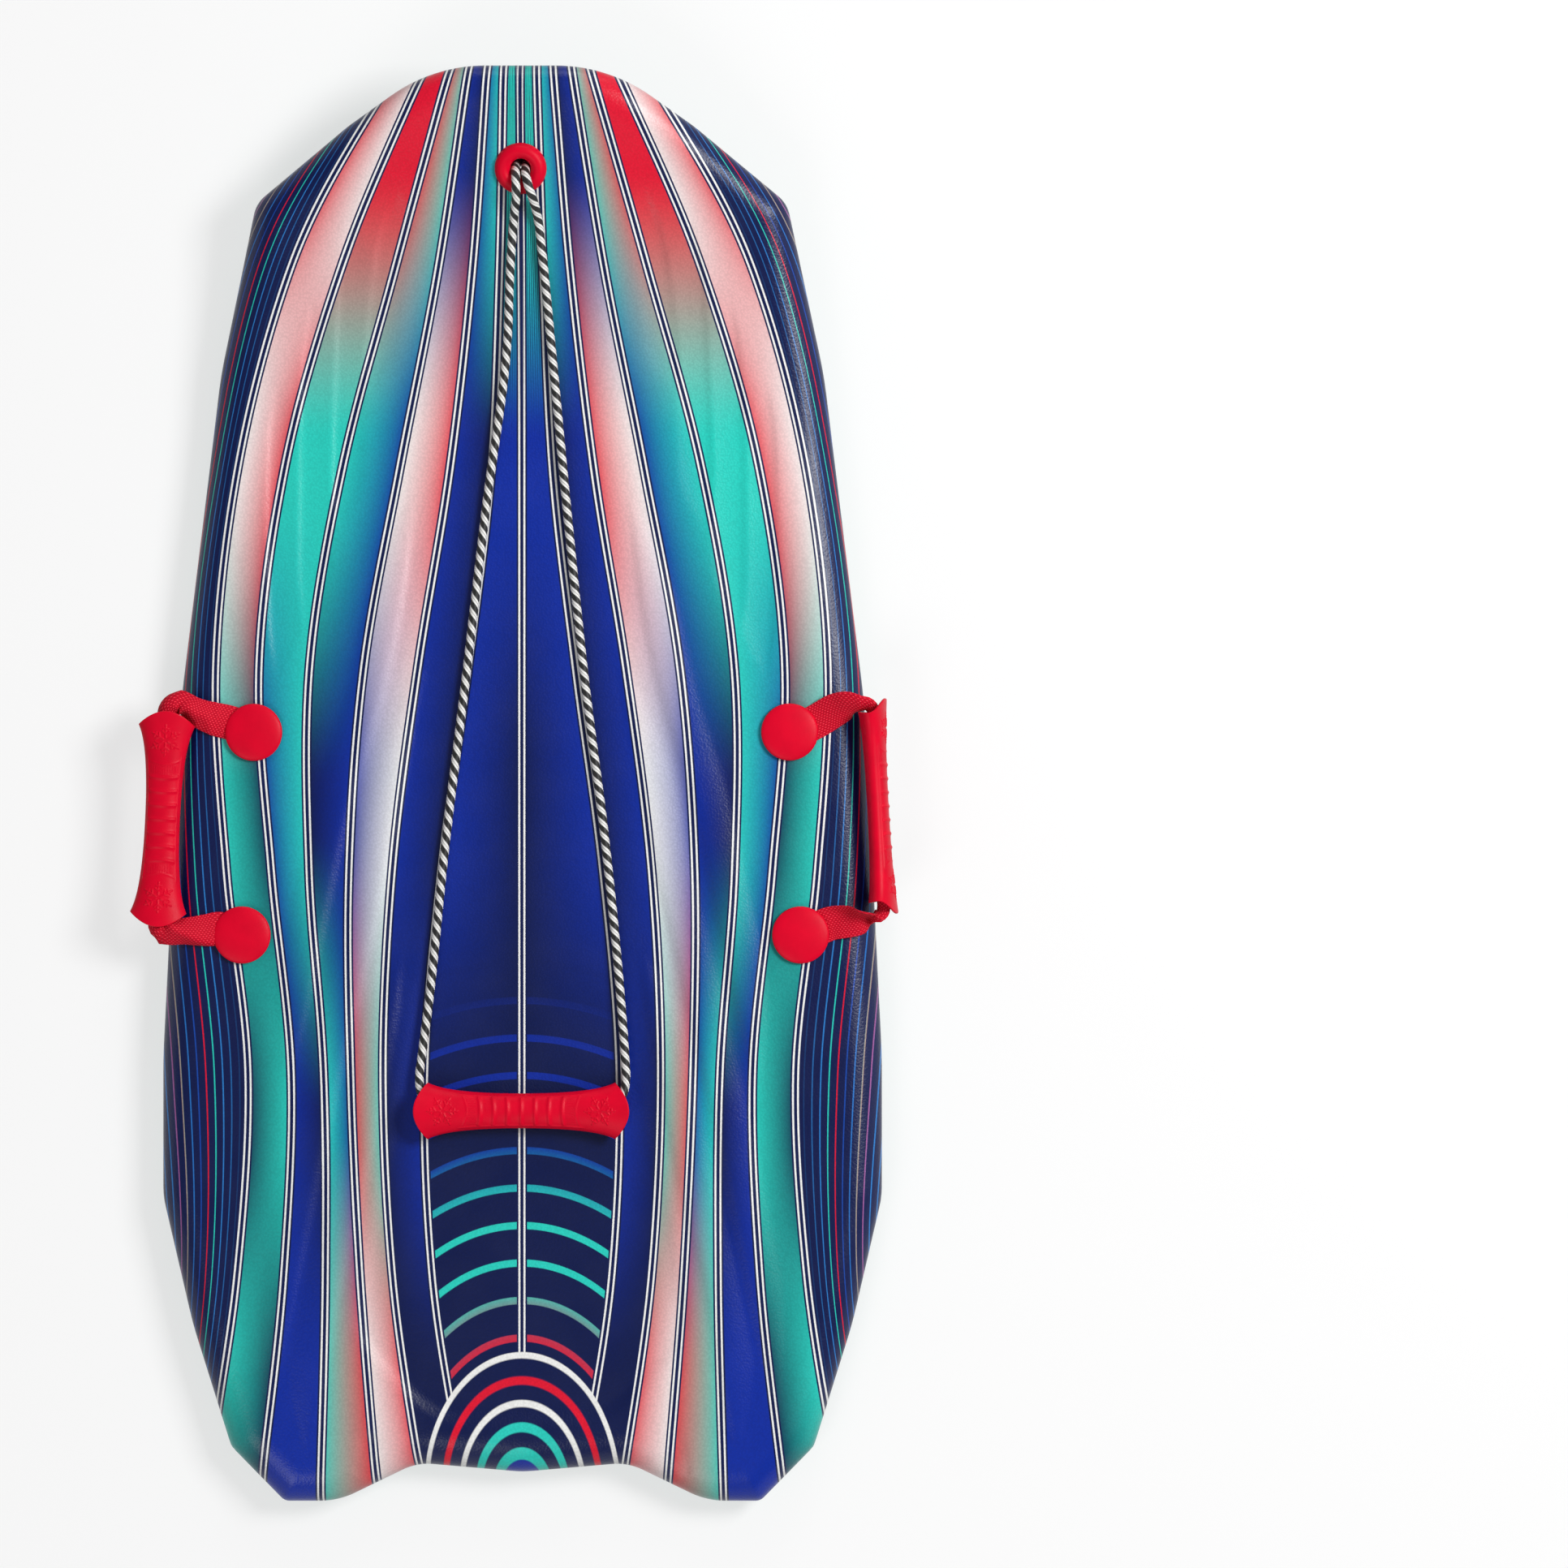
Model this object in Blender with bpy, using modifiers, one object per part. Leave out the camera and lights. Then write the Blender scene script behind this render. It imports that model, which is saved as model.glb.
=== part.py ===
"""Foam snow sled: a laminated foam board with a slick underside, a tow bridle and two webbing handles.

The sled lies on its underside with the nose towards +Y, its origin on the floor under its middle.
Lengths are in metres.
"""

import math

import bmesh
import bpy
import numpy as np
from mathutils import Matrix, Vector

# Board
BOARD_LENGTH = 1.219
BOARD_WIDTH = 0.6128
BOARD_THICKNESS = 0.045
SEAM_SHARE = 0.5
NOSE_RISE = 0.060
NOSE_RISE_LENGTH = 0.350
DECK_RAIL_WIDTH = 0.030
BASE_RAIL_WIDTH = 0.028
DECK_SKIN_THICKNESS = 0.006
SLICK_THICKNESS = 0.004
EDGE_STEP = 0.08
LEAST_FILLET = 0.002

# Corners of the left half from nose to tail: x of the half width, y of the half length,
# fillet of the half width, steps of its arc
OUTLINE_SHARES = (
    (0.2415, 1.0, 0.463, 5),
    (0.4798, 0.9171, 0.39, 1),
    (0.7363, 0.8121, 0.0914, 4),
    (0.8388, 0.5742, 1.3, 1),
    (0.9514, 0.1148, 2.0, 1),
    (1.0, -0.3774, 2.0, 1),
    (1.0, -0.5742, 0.228, 3),
    (0.9171, -0.7531, 1.0, 1),
    (0.8107, -0.9237, 0.049, 2),
    (0.6622, -1.0, 0.0326, 3),
    (0.5124, -1.0, 0.228, 3),
    (0.2937, -0.9467, 0.163, 3),
    (0.0, -0.9595, 0.3, 1),
)
RUNGS_END_SHARE = -0.55

# Turns of the rail's section, from the seam to the flat, as shares of a right angle
OUTER_TURN_SHARES = (0.0, 0.16, 0.38, 0.66, 1.0)
INNER_TURN_SHARES = (0.0, 0.4, 1.0)

# Clearances
GAP = 0.0003
OVERRUN = 0.002
WELD = 0.00001

# Deck relief: a dish that runs out towards the nose, swells beside it and flutes outside them
DISH_DEPTH = 0.0042
DISH_SLOPE = 0.016
DISH_CORNER_SHARES = (
    (0.176, 0.10, 0.05, 2),
    (0.359, -0.402, 0.9, 2),
    (0.486, -0.77, 0.16, 3),
    (0.25, -0.897, 0.25, 3),
)
SWELL_HEIGHT = 0.0026
SWELL_HALF_WIDTH = 0.017
SWELL_SHARES = (
    ((0.33, -0.23), (0.40, -0.40), (0.458, -0.555), (0.517, -0.67), (0.60, -0.935)),
    ((0.255, 0.20), (0.316, 0.085), (0.40, -0.13), (0.48, -0.30), (0.58, -0.53), (0.715, -0.885)),
    ((0.297, 0.413), (0.336, 0.30), (0.414, 0.113), (0.48, 0.005), (0.56, -0.17), (0.66, -0.43)),
)
FLUTE_DEPTH = 0.0018
FLUTE_HALF_WIDTH = 0.010
FLUTE_SHARES = (
    ((0.34, 0.83), (0.385, 0.74), (0.41, 0.64), (0.425, 0.553)),
    ((0.47, 0.79), (0.49, 0.68), (0.503, 0.56), (0.512, 0.356)),
    ((0.58, 0.68), (0.595, 0.55), (0.603, 0.216)),
    ((0.68, 0.56), (0.69, 0.42), (0.68, 0.15)),
    ((0.43, -0.90), (0.445, -0.94), (0.46, -0.965)),
)

# Underside relief: raised ridges that the sled slides on, and wider grooves outside them
RIDGE_HEIGHT = 0.002
RIDGE_HALF_WIDTH = 0.0045
RIDGES = ((0.0345, 0.461, -0.474), (0.0973, 0.392, -0.522))
GROOVE_DEPTH = 0.0021
GROOVE_HALF_WIDTH = 0.010
GROOVE_SHARES = (
    (0.486, 0.79),
    (0.494, 0.67),
    (0.503, 0.55),
    (0.513, 0.426),
    (0.545, -0.1),
    (0.565, -0.5),
    (0.575, -0.84),
    (0.58, -0.95),
)
RIDGE_RUN_OUT = 0.12
STRAKE_STEP = 0.38
STRAKE_TAPER_SHARE = 0.2
LEAST_SWELL_SHARE = 0.04
STRAKE_BURY = 0.0012

# Section of a strake: share of its half width, share of its height
SOFT_SECTION_SHARES = ((-0.62, 0.6), (0.0, 1.0), (0.62, 0.6))
CREASE_SECTION_SHARES = ((0.0, 1.0),)
RIDGE_SECTION_SHARES = ((-0.4, 1.0), (0.4, 1.0))

# Strap plugs: a deck cap whose barbed stem snaps into the base cap's tube
CAP_RADIUS = 0.0243
CAP_CROWN = 0.0052
CAP_LIP = 0.0010
STEM_RADIUS = 0.0060
BARB_HEIGHT = 0.0003
BARB_PITCH = 0.0060
BARB_COUNT = 2
BASE_CAP_RADIUS = 0.02485
BASE_CAP_CROWN = 0.0036
BASE_CAP_RECESS = 0.0022
SOCKET_CLEARANCE = 0.0003
SOCKET_WALL = 0.0025
SOCKET_FLOOR = 0.0014
DIMPLE_FLARE = 0.005
TURNED_STEPS = 16

# Middle of each strap plug: in from the board's widest line, and along the board
LEFT_FRONT_PLUG = (0.0786, 0.0456)
LEFT_REAR_PLUG = (0.0687, -0.1266)
RIGHT_FRONT_PLUG = (0.0787, 0.0459)
RIGHT_REAR_PLUG = (0.0694, -0.1266)

# Tow plug: a grommet square to the rising nose, held by a dished cap under it
TOW_NOSE_DISTANCE = 0.0868
TOW_BORE_RADIUS = 0.0085
TOW_STEM_RADIUS = 0.0120
TOW_FLANGE_RADIUS = 0.0220
TOW_LIP_RADIUS = 0.0135
TOW_LIP_HEIGHT = 0.0070
TOW_SEAT_DEPTH = 0.0005
TOW_TUBE_START = 0.0080
TOW_BASE_RADIUS = 0.0295
TOW_BASE_CROWN = 0.0070
TOW_BASE_SEAT_DEPTH = 0.0010
TOW_DISH_RADIUS = 0.0175
TOW_DISH_DEPTH = 0.0036
TOW_SOCKET_WALL = 0.0025
TOW_TURNED_STEPS = 20

# Grips: hollow, oval, flared at the mouths, ribbed on the face
GRIP_LENGTH = 0.182
GRIP_MOUTH_WIDTH = 0.048
GRIP_MOUTH_THICKNESS = 0.024
GRIP_WAIST_WIDTH = 0.0297
GRIP_WAIST_THICKNESS = 0.018
GRIP_WALL = 0.0022
GRIP_END_DROP = 0.0116
GRIP_FLARE_POWER = 2.4
GRIP_SIDES = 12
RIB_COUNT = 8
RIB_PITCH = 0.0115
RIB_HEIGHT = 0.0009
MOUTH_SHARES = (1.0, 0.93, 0.82, 0.66)
BORE_SHARES = (1.0, 0.7, 0.0)
GRIP_AXIS_RISE = 0.007
RIGHT_GRIP_ROLL = math.radians(80)
TOW_GRIP_Y = -0.2757
TOW_GRIP_RISE = 0.0025

# Middles of the side grips' mouths, front first: in from the board's widest line, and along the board
LEFT_GRIP_ENDS = ((0.0057, 0.0630), (-0.0028, -0.1190))
RIGHT_GRIP_ENDS = ((0.0087, 0.0735), (-0.0013, -0.1087))

# Straps: webbing from cap to cap through a grip, flat under the caps and folded in the grip
STRAP_WIDTH = 0.0295
STRAP_THICKNESS = 0.0018
STRAP_STEP = 0.014
LEFT_STRAP_REACH = 0.010
RIGHT_STRAP_REACH = 0.0045

# From cap to mouth: share of the way across, share of the way along, share of the reach past the
# mouth, share of the rise, share of the width, folds of cloth, share of a right angle of twist
LEFT_STRAP_SHARES = (
    (-0.18, 0.0, 0.0, 0.0, 1.0, 1.0, 0.0),
    (0.0, 0.0, 0.0, 0.0, 1.0, 1.0, 0.0),
    (0.30, 0.15, 0.05, 0.0, 1.0, 1.0, 0.0),
    (0.37, 0.25, 0.10, 0.0, 1.0, 1.0, 0.0),
    (0.55, 0.6, 0.35, 0.6, 0.93, 1.1, 0.12),
    (0.74, 1.0, 0.80, 1.25, 0.80, 1.4, 0.40),
    (0.88, 1.0, 1.05, 1.4, 0.64, 2.0, 0.72),
    (0.97, 1.0, 0.95, 1.25, 0.54, 2.3, 0.95),
    (1.0, 1.0, 0.50, 1.05, 0.48, 2.5, 1.0),
    (1.0, 1.0, -0.60, 1.0, 0.44, 2.7, 1.0),
    (1.0, 1.0, -2.50, 1.0, 0.40, 2.8, 1.0),
)
RIGHT_STRAP_SHARES = (
    (-0.18, 0.0, 0.0, 0.0, 1.0, 1.0, 0.0),
    (0.0, 0.0, 0.0, 0.0, 1.0, 1.0, 0.0),
    (0.30, 0.15, 0.05, 0.0, 1.0, 1.0, 0.0),
    (0.37, 0.25, 0.10, 0.0, 1.0, 1.0, 0.0),
    (0.52, 0.6, 0.30, 1.1, 0.85, 1.2, 0.20),
    (0.68, 0.95, 0.75, 1.75, 0.68, 1.6, 0.60),
    (0.82, 1.0, 1.0, 1.65, 0.56, 2.0, 0.95),
    (0.95, 1.0, 0.95, 1.3, 0.50, 2.3, 1.0),
    (1.0, 1.0, 0.50, 1.05, 0.48, 2.5, 1.0),
    (0.99, 1.0, -1.0, 1.0, 0.42, 2.7, 1.0),
    (0.98, 1.0, -5.0, 1.0, 0.36, 2.8, 1.0),
)

# Rope: one cord, both ends knotted under the tow plug's base
ROPE_RADIUS = 0.00375
ROPE_STEP = 0.032
KNOT_RADII = (0.0130, 0.0110, 0.0080)
KNOT_TAIL_LENGTH = 0.011
KNOT_TAIL_DROP = 0.0025

# The rope's way, left strand from the knot to the grip: x, then back along and up from the grommet's
# middle, in its own tilted frame
ROPE_UP_THE_BORE = (
    (-0.0042, 0.0, -0.0300),
    (-0.0042, 0.0, -0.0150),
    (-0.0042, 0.0002, -0.0030),
    (-0.0041, 0.0020, 0.0040),
    (-0.0040, 0.0062, 0.0098),
    (-0.0039, 0.0130, 0.0132),
    (-0.0038, 0.0210, 0.0130),
    (-0.0038, 0.0300, 0.0098),
    (-0.0042, 0.0400, 0.0063),
)
# Then x, y and z over the deck to the grip's mouth and into its bore
LEFT_ROPE_RUN = (
    (-0.0075, 0.4500, 0.0700),
    (-0.0124, 0.3716, 0.0583),
    (-0.0297, 0.2405, 0.0516),
    (-0.0469, 0.0956, 0.0513),
    (-0.0656, -0.0562, 0.0513),
    (-0.0790, -0.1850, 0.0527),
    (-0.0848, -0.2300, 0.0565),
    (-0.0868, -0.2480, 0.0590),
    (-0.0853, -0.2600, 0.0596),
    (-0.0800, -0.2690, 0.0597),
    (-0.0700, -0.2745, 0.0597),
    (-0.0560, -0.2757, 0.0592),
    (-0.0300, -0.2757, 0.0575),
    (0.0, -0.2757, 0.0573),
)
RIGHT_ROPE_RUN = (
    (0.0300, -0.2757, 0.0575),
    (0.0560, -0.2757, 0.0592),
    (0.0710, -0.2745, 0.0597),
    (0.0810, -0.2690, 0.0597),
    (0.0868, -0.2600, 0.0596),
    (0.0886, -0.2480, 0.0590),
    (0.0878, -0.2300, 0.0565),
    (0.0845, -0.1850, 0.0527),
    (0.0704, -0.0424, 0.0513),
    (0.0545, 0.0818, 0.0513),
    (0.0393, 0.2267, 0.0516),
    (0.0255, 0.3716, 0.0583),
    (0.0150, 0.4500, 0.0700),
)

# Colours as linear red, green, blue, then roughness and metallic
FINISHES = {
    "foam": ((0.80, 0.80, 0.78), 0.9, 0.0),
    "deck_print": ((0.004, 0.027, 0.35), 0.55, 0.0),
    "slick": ((0.018, 0.66, 0.55), 0.3, 0.0),
    "red_plastic": ((0.78, 0.0, 0.024), 0.4, 0.0),
    "red_webbing": ((0.62, 0.0, 0.02), 0.8, 0.0),
    "cord": ((0.35, 0.35, 0.35), 0.8, 0.0),
}

# Heights and places that follow from the sizes above
SLICK_Z = RIDGE_HEIGHT
DECK_Z = SLICK_Z + BOARD_THICKNESS
SEAM_Z = SLICK_Z + BOARD_THICKNESS * SEAM_SHARE
DECK_RAIL_HEIGHT = DECK_Z - SEAM_Z
BASE_RAIL_HEIGHT = SEAM_Z - SLICK_Z
RISE_START = BOARD_LENGTH / 2 - NOSE_RISE_LENGTH
TOW_Y = BOARD_LENGTH / 2 - TOW_NOSE_DISTANCE
STRAP_Z = DECK_Z + GAP + STRAP_THICKNESS / 2
CAP_Z = DECK_Z + STRAP_THICKNESS + 2 * GAP
GRIP_Z = DECK_Z + GRIP_AXIS_RISE
TUBE_RADIUS = STEM_RADIUS + BARB_HEIGHT + SOCKET_CLEARANCE
TUBE_OUTER_RADIUS = TUBE_RADIUS + SOCKET_WALL
TOW_TUBE_RADIUS = TOW_STEM_RADIUS + SOCKET_CLEARANCE
TOW_TUBE_OUTER_RADIUS = TOW_TUBE_RADIUS + TOW_SOCKET_WALL


def rocker(y):
    """How far the upturned nose lifts the board at y."""
    return NOSE_RISE * (max(y - RISE_START, 0) / NOSE_RISE_LENGTH) ** 2


def tow_frame():
    """The grommet's frame: its middle on the deck, +Y back along the deck and +Z square to it."""
    lean = math.atan(2 * NOSE_RISE * (TOW_Y - RISE_START) / NOSE_RISE_LENGTH**2)
    place = Matrix.Translation((0, TOW_Y, DECK_Z + rocker(TOW_Y)))
    return place @ Matrix.Rotation(lean, 4, "X") @ Matrix.Rotation(math.pi, 4, "Z")


TOW_DEPTH = BOARD_THICKNESS * tow_frame().to_3x3().col[2].z
TOW_BASE_Z = TOW_BASE_SEAT_DEPTH - TOW_DEPTH - GAP


# Scene
def clear_scene():
    for obj in list(bpy.data.objects):
        bpy.data.objects.remove(obj, do_unlink=True)


def new_collection(name):
    collection = bpy.data.collections.new(name)
    bpy.context.scene.collection.children.link(collection)
    return collection


def new_material(name):
    colour, roughness, metallic = FINISHES[name]
    material = bpy.data.materials.new(name)
    material.use_nodes = True
    shader = material.node_tree.nodes["Principled BSDF"]
    shader.inputs["Base Color"].default_value = (*colour, 1)
    shader.inputs["Roughness"].default_value = roughness
    shader.inputs["Metallic"].default_value = metallic
    return material


def new_object(name, bm, collection, finish=None):
    """An object from a bmesh, with its faces turned outwards."""
    bmesh.ops.recalc_face_normals(bm, faces=bm.faces)
    mesh = bpy.data.meshes.new(name)
    bm.to_mesh(mesh)
    bm.free()
    obj = bpy.data.objects.new(name, mesh)
    collection.objects.link(obj)
    if finish:
        mesh.materials.append(bpy.data.materials[finish])
    return obj


def shade(obj):
    """Smooth shading that keeps the edges crisp."""
    obj.data.shade_smooth()
    obj.data.set_sharp_from_angle(angle=math.radians(40))


def boolean(obj, other, operation):
    modifier = obj.modifiers.new(f"{operation.title()} {other.name}", "BOOLEAN")
    modifier.operation = operation
    modifier.solver = "EXACT"
    modifier.object = other
    other.hide_render = True
    other.display_type = "WIRE"


# Shapes
def bridge(bm, loop, following):
    """Faces between two loops of as many points."""
    count = len(loop)
    for k in range(count):
        bm.faces.new((loop[k], loop[(k + 1) % count], following[(k + 1) % count], following[k]))


def loft(bm, sections):
    """A closed body through sections of as many points."""
    loops = [[bm.verts.new(point) for point in section] for section in sections]
    for loop, following in zip(loops, loops[1:]):
        bridge(bm, loop, following)
    bm.faces.new(loops[0])
    bm.faces.new(loops[-1])


def smooth_line(points, longest):
    """Rows along a smooth curve through the given rows, about as far apart as longest."""
    rows = np.array(points, float)
    spans = np.linalg.norm(np.diff(rows[:, :3], axis=0), axis=1)
    slopes = np.diff(rows, axis=0) / spans[:, None]
    before, after = spans[:-1, None], spans[1:, None]
    inner = (slopes[1:] * before + slopes[:-1] * after) / (before + after)
    tangents = np.vstack([slopes[:1], inner, slopes[-1:]])
    found = []
    for k, span in enumerate(spans):
        pieces = max(1, round(span / longest))
        for t in np.arange(pieces) / pieces:
            start, end = (1 + 2 * t) * (1 - t) ** 2, t * t * (3 - 2 * t)
            leave, arrive = t * (1 - t) ** 2, t * t * (t - 1)
            curve = (leave * tangents[k] + arrive * tangents[k + 1]) * span
            found.append(start * rows[k] + end * rows[k + 1] + curve)
    return np.array([*found, rows[-1]])


def rounded_loop(shares, inset):
    """A mirrored outline moved in by inset, with its corners filleted, anticlockwise from the nose.

    It has as many points for every inset, and its point k mirrors its point -1 - k.
    """
    half_width, half_length = BOARD_WIDTH / 2, BOARD_LENGTH / 2
    left = [(Vector((-x * half_width, y * half_length)), r * half_width, n) for x, y, r, n in shares]
    right = [(Vector((-p.x, p.y)), r, n) for p, r, n in reversed(left) if p.x]
    corners = left + right
    count = len(corners)
    points = []
    for i, (corner, radius, steps) in enumerate(corners):
        following = corners[(i + 1) % count][0]
        way_in = (corner - corners[i - 1][0]).normalized()
        way_out = (following - corner).normalized()
        turn = math.atan2(way_in.cross(way_out), way_in.dot(way_out))
        in_normal, out_normal = Vector((-way_in.y, way_in.x)), Vector((-way_out.y, way_out.x))
        moved = corner + inset * (in_normal + out_normal) / (1 + in_normal.dot(out_normal))
        fillet = max(radius - math.copysign(inset, turn), LEAST_FILLET)
        start = moved - way_in * fillet * math.tan(abs(turn) / 2)
        centre = start + in_normal * math.copysign(fillet, turn)
        arc = [centre + Matrix.Rotation(turn * k / steps, 2) @ (start - centre) for k in range(steps + 1)]
        points.append(arc)
    found = []
    for i, arc in enumerate(points):
        found += arc
        if i == count - 1:
            break
        length = (corners[i + 1][0] - corners[i][0]).length
        rises = corners[i][0].y > RISE_START or corners[i + 1][0].y > RISE_START
        pieces = max(1, round(length / EDGE_STEP)) if rises else 1
        found += [arc[-1].lerp(points[i + 1][0], k / pieces) for k in range(1, pieces)]
    return found


# Board
def rail_ring(width, height, depth, turn_share):
    """Inset and rise of a point on the elliptic rail, at a depth under its surface."""
    angle = turn_share * math.pi / 2
    across, up = math.cos(angle) / width, math.sin(angle) / height
    scale = depth / math.hypot(across, up)
    inset = width * (1 - math.cos(angle)) + across * scale
    return inset, height * math.sin(angle) - up * scale


def deck_rings(depth, turn_shares):
    rings = [rail_ring(DECK_RAIL_WIDTH, DECK_RAIL_HEIGHT, depth, share) for share in turn_shares]
    return [(inset, SEAM_Z + max(rise, GAP / 2)) for inset, rise in rings]


def base_rings(depth, turn_shares):
    rings = [rail_ring(BASE_RAIL_WIDTH, BASE_RAIL_HEIGHT, depth, share) for share in turn_shares]
    return [(inset, SEAM_Z - max(rise, GAP / 2)) for inset, rise in rings]


def fill_sheet(bm, ring):
    """Closes a ring of board outline with rungs from side to side, and one flat face at the tail."""
    last = len(ring) - 1
    rungs_end = RUNGS_END_SHARE * BOARD_LENGTH / 2
    tail = next(k for k, vert in enumerate(ring) if vert.co.y < rungs_end)
    for k in range(tail):
        bm.faces.new((ring[k], ring[k + 1], ring[last - k - 1], ring[last - k]))
    bm.faces.new(ring[tail : last - tail + 1])


def board_layer(name, rings, finish, collection):
    """A closed layer of the board through rings of inset and height, bent up by the rocker."""
    bm = bmesh.new()
    loops = []
    for inset, height in rings:
        points = rounded_loop(OUTLINE_SHARES, inset)
        loops.append([bm.verts.new((p.x, p.y, height + rocker(p.y))) for p in points])
    for loop, following in zip(loops, loops[1:]):
        bridge(bm, loop, following)
    fill_sheet(bm, loops[0])
    fill_sheet(bm, loops[-1])
    bmesh.ops.triangulate(bm, faces=bm.faces, quad_method="SHORT_EDGE")
    return new_object(name, bm, collection, finish)


def add_strake(bm, route, half_width, height, bury, section_shares, surface_z):
    """A rib along a route that grows from a point and runs out to a point, its foot under the surface."""
    line = smooth_line(route, STRAKE_STEP)
    along = np.linspace(0, 1, len(line))
    ways = np.gradient(line, axis=0)
    sections = []
    for point, way, share in zip(line, ways, along):
        side = Vector((-way[1], way[0], 0)).normalized()
        taper = min(1, share / STRAKE_TAPER_SHARE, (1 - share) / STRAKE_TAPER_SHARE)
        swell = max(math.sin(taper * math.pi / 2), LEAST_SWELL_SHARE)
        foot = Vector((*point, surface_z + rocker(point[1])))
        shares = ((-1, 0), *section_shares, (1, 0))
        across, up = side * half_width * swell, Vector((0, 0, height * swell))
        section = [foot + across * u + up * h for u, h in shares]
        section[0].z -= bury
        section[-1].z -= bury
        sections.append(section)
    loft(bm, sections)


def add_mirrored_strakes(bm, route, *sizes):
    for side in (-1, 1):
        add_strake(bm, [(side * x, y) for x, y in route], *sizes)


def in_board_sizes(shares):
    return [(x * BOARD_WIDTH / 2, y * BOARD_LENGTH / 2) for x, y in shares]


def deck_swells(cutters):
    bm = bmesh.new()
    sizes = (SWELL_HALF_WIDTH, SWELL_HEIGHT, STRAKE_BURY, SOFT_SECTION_SHARES, DECK_Z)
    for shares in SWELL_SHARES:
        add_mirrored_strakes(bm, in_board_sizes(shares), *sizes)
    return new_object("swells", bm, cutters)


def deck_flutes(cutters):
    bm = bmesh.new()
    sizes = (FLUTE_HALF_WIDTH, -FLUTE_DEPTH, -STRAKE_BURY, CREASE_SECTION_SHARES, DECK_Z)
    for shares in FLUTE_SHARES:
        add_mirrored_strakes(bm, in_board_sizes(shares), *sizes)
    return new_object("flutes", bm, cutters)


def dish_depth(y):
    """Depth of the dish's floor, which runs out of the deck before the dish's front end."""
    front, rear = DISH_CORNER_SHARES[0][1], DISH_CORNER_SHARES[-1][1]
    share = (front - y / (BOARD_LENGTH / 2)) / (front - rear)
    return (DISH_DEPTH + STRAKE_BURY) * share - STRAKE_BURY


def deck_dish(cutters):
    bm = bmesh.new()
    loops = []
    half = DISH_SLOPE / 2
    for inset, lift, floor_share in ((-half, OVERRUN, 0), (half, 0, 0.5), (DISH_SLOPE, 0, 1)):
        points = rounded_loop(DISH_CORNER_SHARES, inset)
        loops.append([Vector((p.x, p.y, DECK_Z + lift - floor_share * dish_depth(p.y))) for p in points])
    loft(bm, loops)
    return new_object("dish", bm, cutters)


def base_ridges(cutters):
    bm = bmesh.new()
    sizes = (RIDGE_HALF_WIDTH, -RIDGE_HEIGHT, -STRAKE_BURY, RIDGE_SECTION_SHARES, SLICK_Z)
    for x, front, rear in RIDGES:
        rise = np.linspace(front, RISE_START, 4)
        add_mirrored_strakes(bm, [(x, y) for y in (*rise, rear + RIDGE_RUN_OUT, rear)], *sizes)
    return new_object("ridges", bm, cutters)


def base_grooves(cutters):
    bm = bmesh.new()
    sizes = (GROOVE_HALF_WIDTH, GROOVE_DEPTH, STRAKE_BURY, SOFT_SECTION_SHARES, SLICK_Z)
    add_mirrored_strakes(bm, in_board_sizes(GROOVE_SHARES), *sizes)
    return new_object("grooves", bm, cutters)


def add_drum(bm, matrix, steps, radius, low, high, low_radius=None):
    """A round cutter between two heights of a frame, wider below if low_radius is given."""
    place = matrix @ Matrix.Translation((0, 0, (low + high) / 2))
    sizes = {"radius1": low_radius or radius, "radius2": radius, "depth": high - low}
    bmesh.ops.create_cone(bm, cap_ends=True, segments=steps, matrix=place, **sizes)


def from_widest_line(side, places):
    """Places in from the board's widest line on the left, -1, or the right, 1."""
    return [(side * (BOARD_WIDTH / 2 - inset), y) for inset, y in places]


def plug_places():
    left = from_widest_line(-1, (LEFT_FRONT_PLUG, LEFT_REAR_PLUG))
    right = from_widest_line(1, (RIGHT_FRONT_PLUG, RIGHT_REAR_PLUG))
    return dict(zip(("left_front", "left_rear", "right_front", "right_rear"), left + right))


def plug_holes(cutters):
    """Holes through the board for the four strap plugs and the tow plug."""
    bm = bmesh.new()
    for x, y in plug_places().values():
        place = Matrix.Translation((x, y, 0))
        add_drum(bm, place, TURNED_STEPS, TUBE_OUTER_RADIUS + GAP, -OVERRUN, DECK_Z + OVERRUN)
    tube, reach = TOW_TUBE_OUTER_RADIUS + GAP, 2 * OVERRUN
    add_drum(bm, tow_frame(), TOW_TURNED_STEPS, tube, -TOW_DEPTH - reach, reach)
    return new_object("plug_holes", bm, cutters)


def tow_seat(cutters):
    bm = bmesh.new()
    add_drum(bm, tow_frame(), TOW_TURNED_STEPS, TOW_FLANGE_RADIUS + GAP, -TOW_SEAT_DEPTH, OVERRUN)
    return new_object("tow_seat", bm, cutters)


def base_seats(cutters):
    """Dimples in the underside, one under each base cap."""
    bm = bmesh.new()
    radius = BASE_CAP_RADIUS + GAP
    flare = DIMPLE_FLARE * (BASE_CAP_RECESS + OVERRUN) / BASE_CAP_RECESS
    for x, y in plug_places().values():
        place = Matrix.Translation((x, y, SLICK_Z))
        add_drum(bm, place, TURNED_STEPS, radius, -OVERRUN, BASE_CAP_RECESS, radius + flare)
    radius, base = TOW_BASE_RADIUS + GAP, -TOW_DEPTH
    add_drum(bm, tow_frame(), TOW_TURNED_STEPS, radius, base - OVERRUN, base + TOW_BASE_SEAT_DEPTH)
    return new_object("base_seats", bm, cutters)


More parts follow.
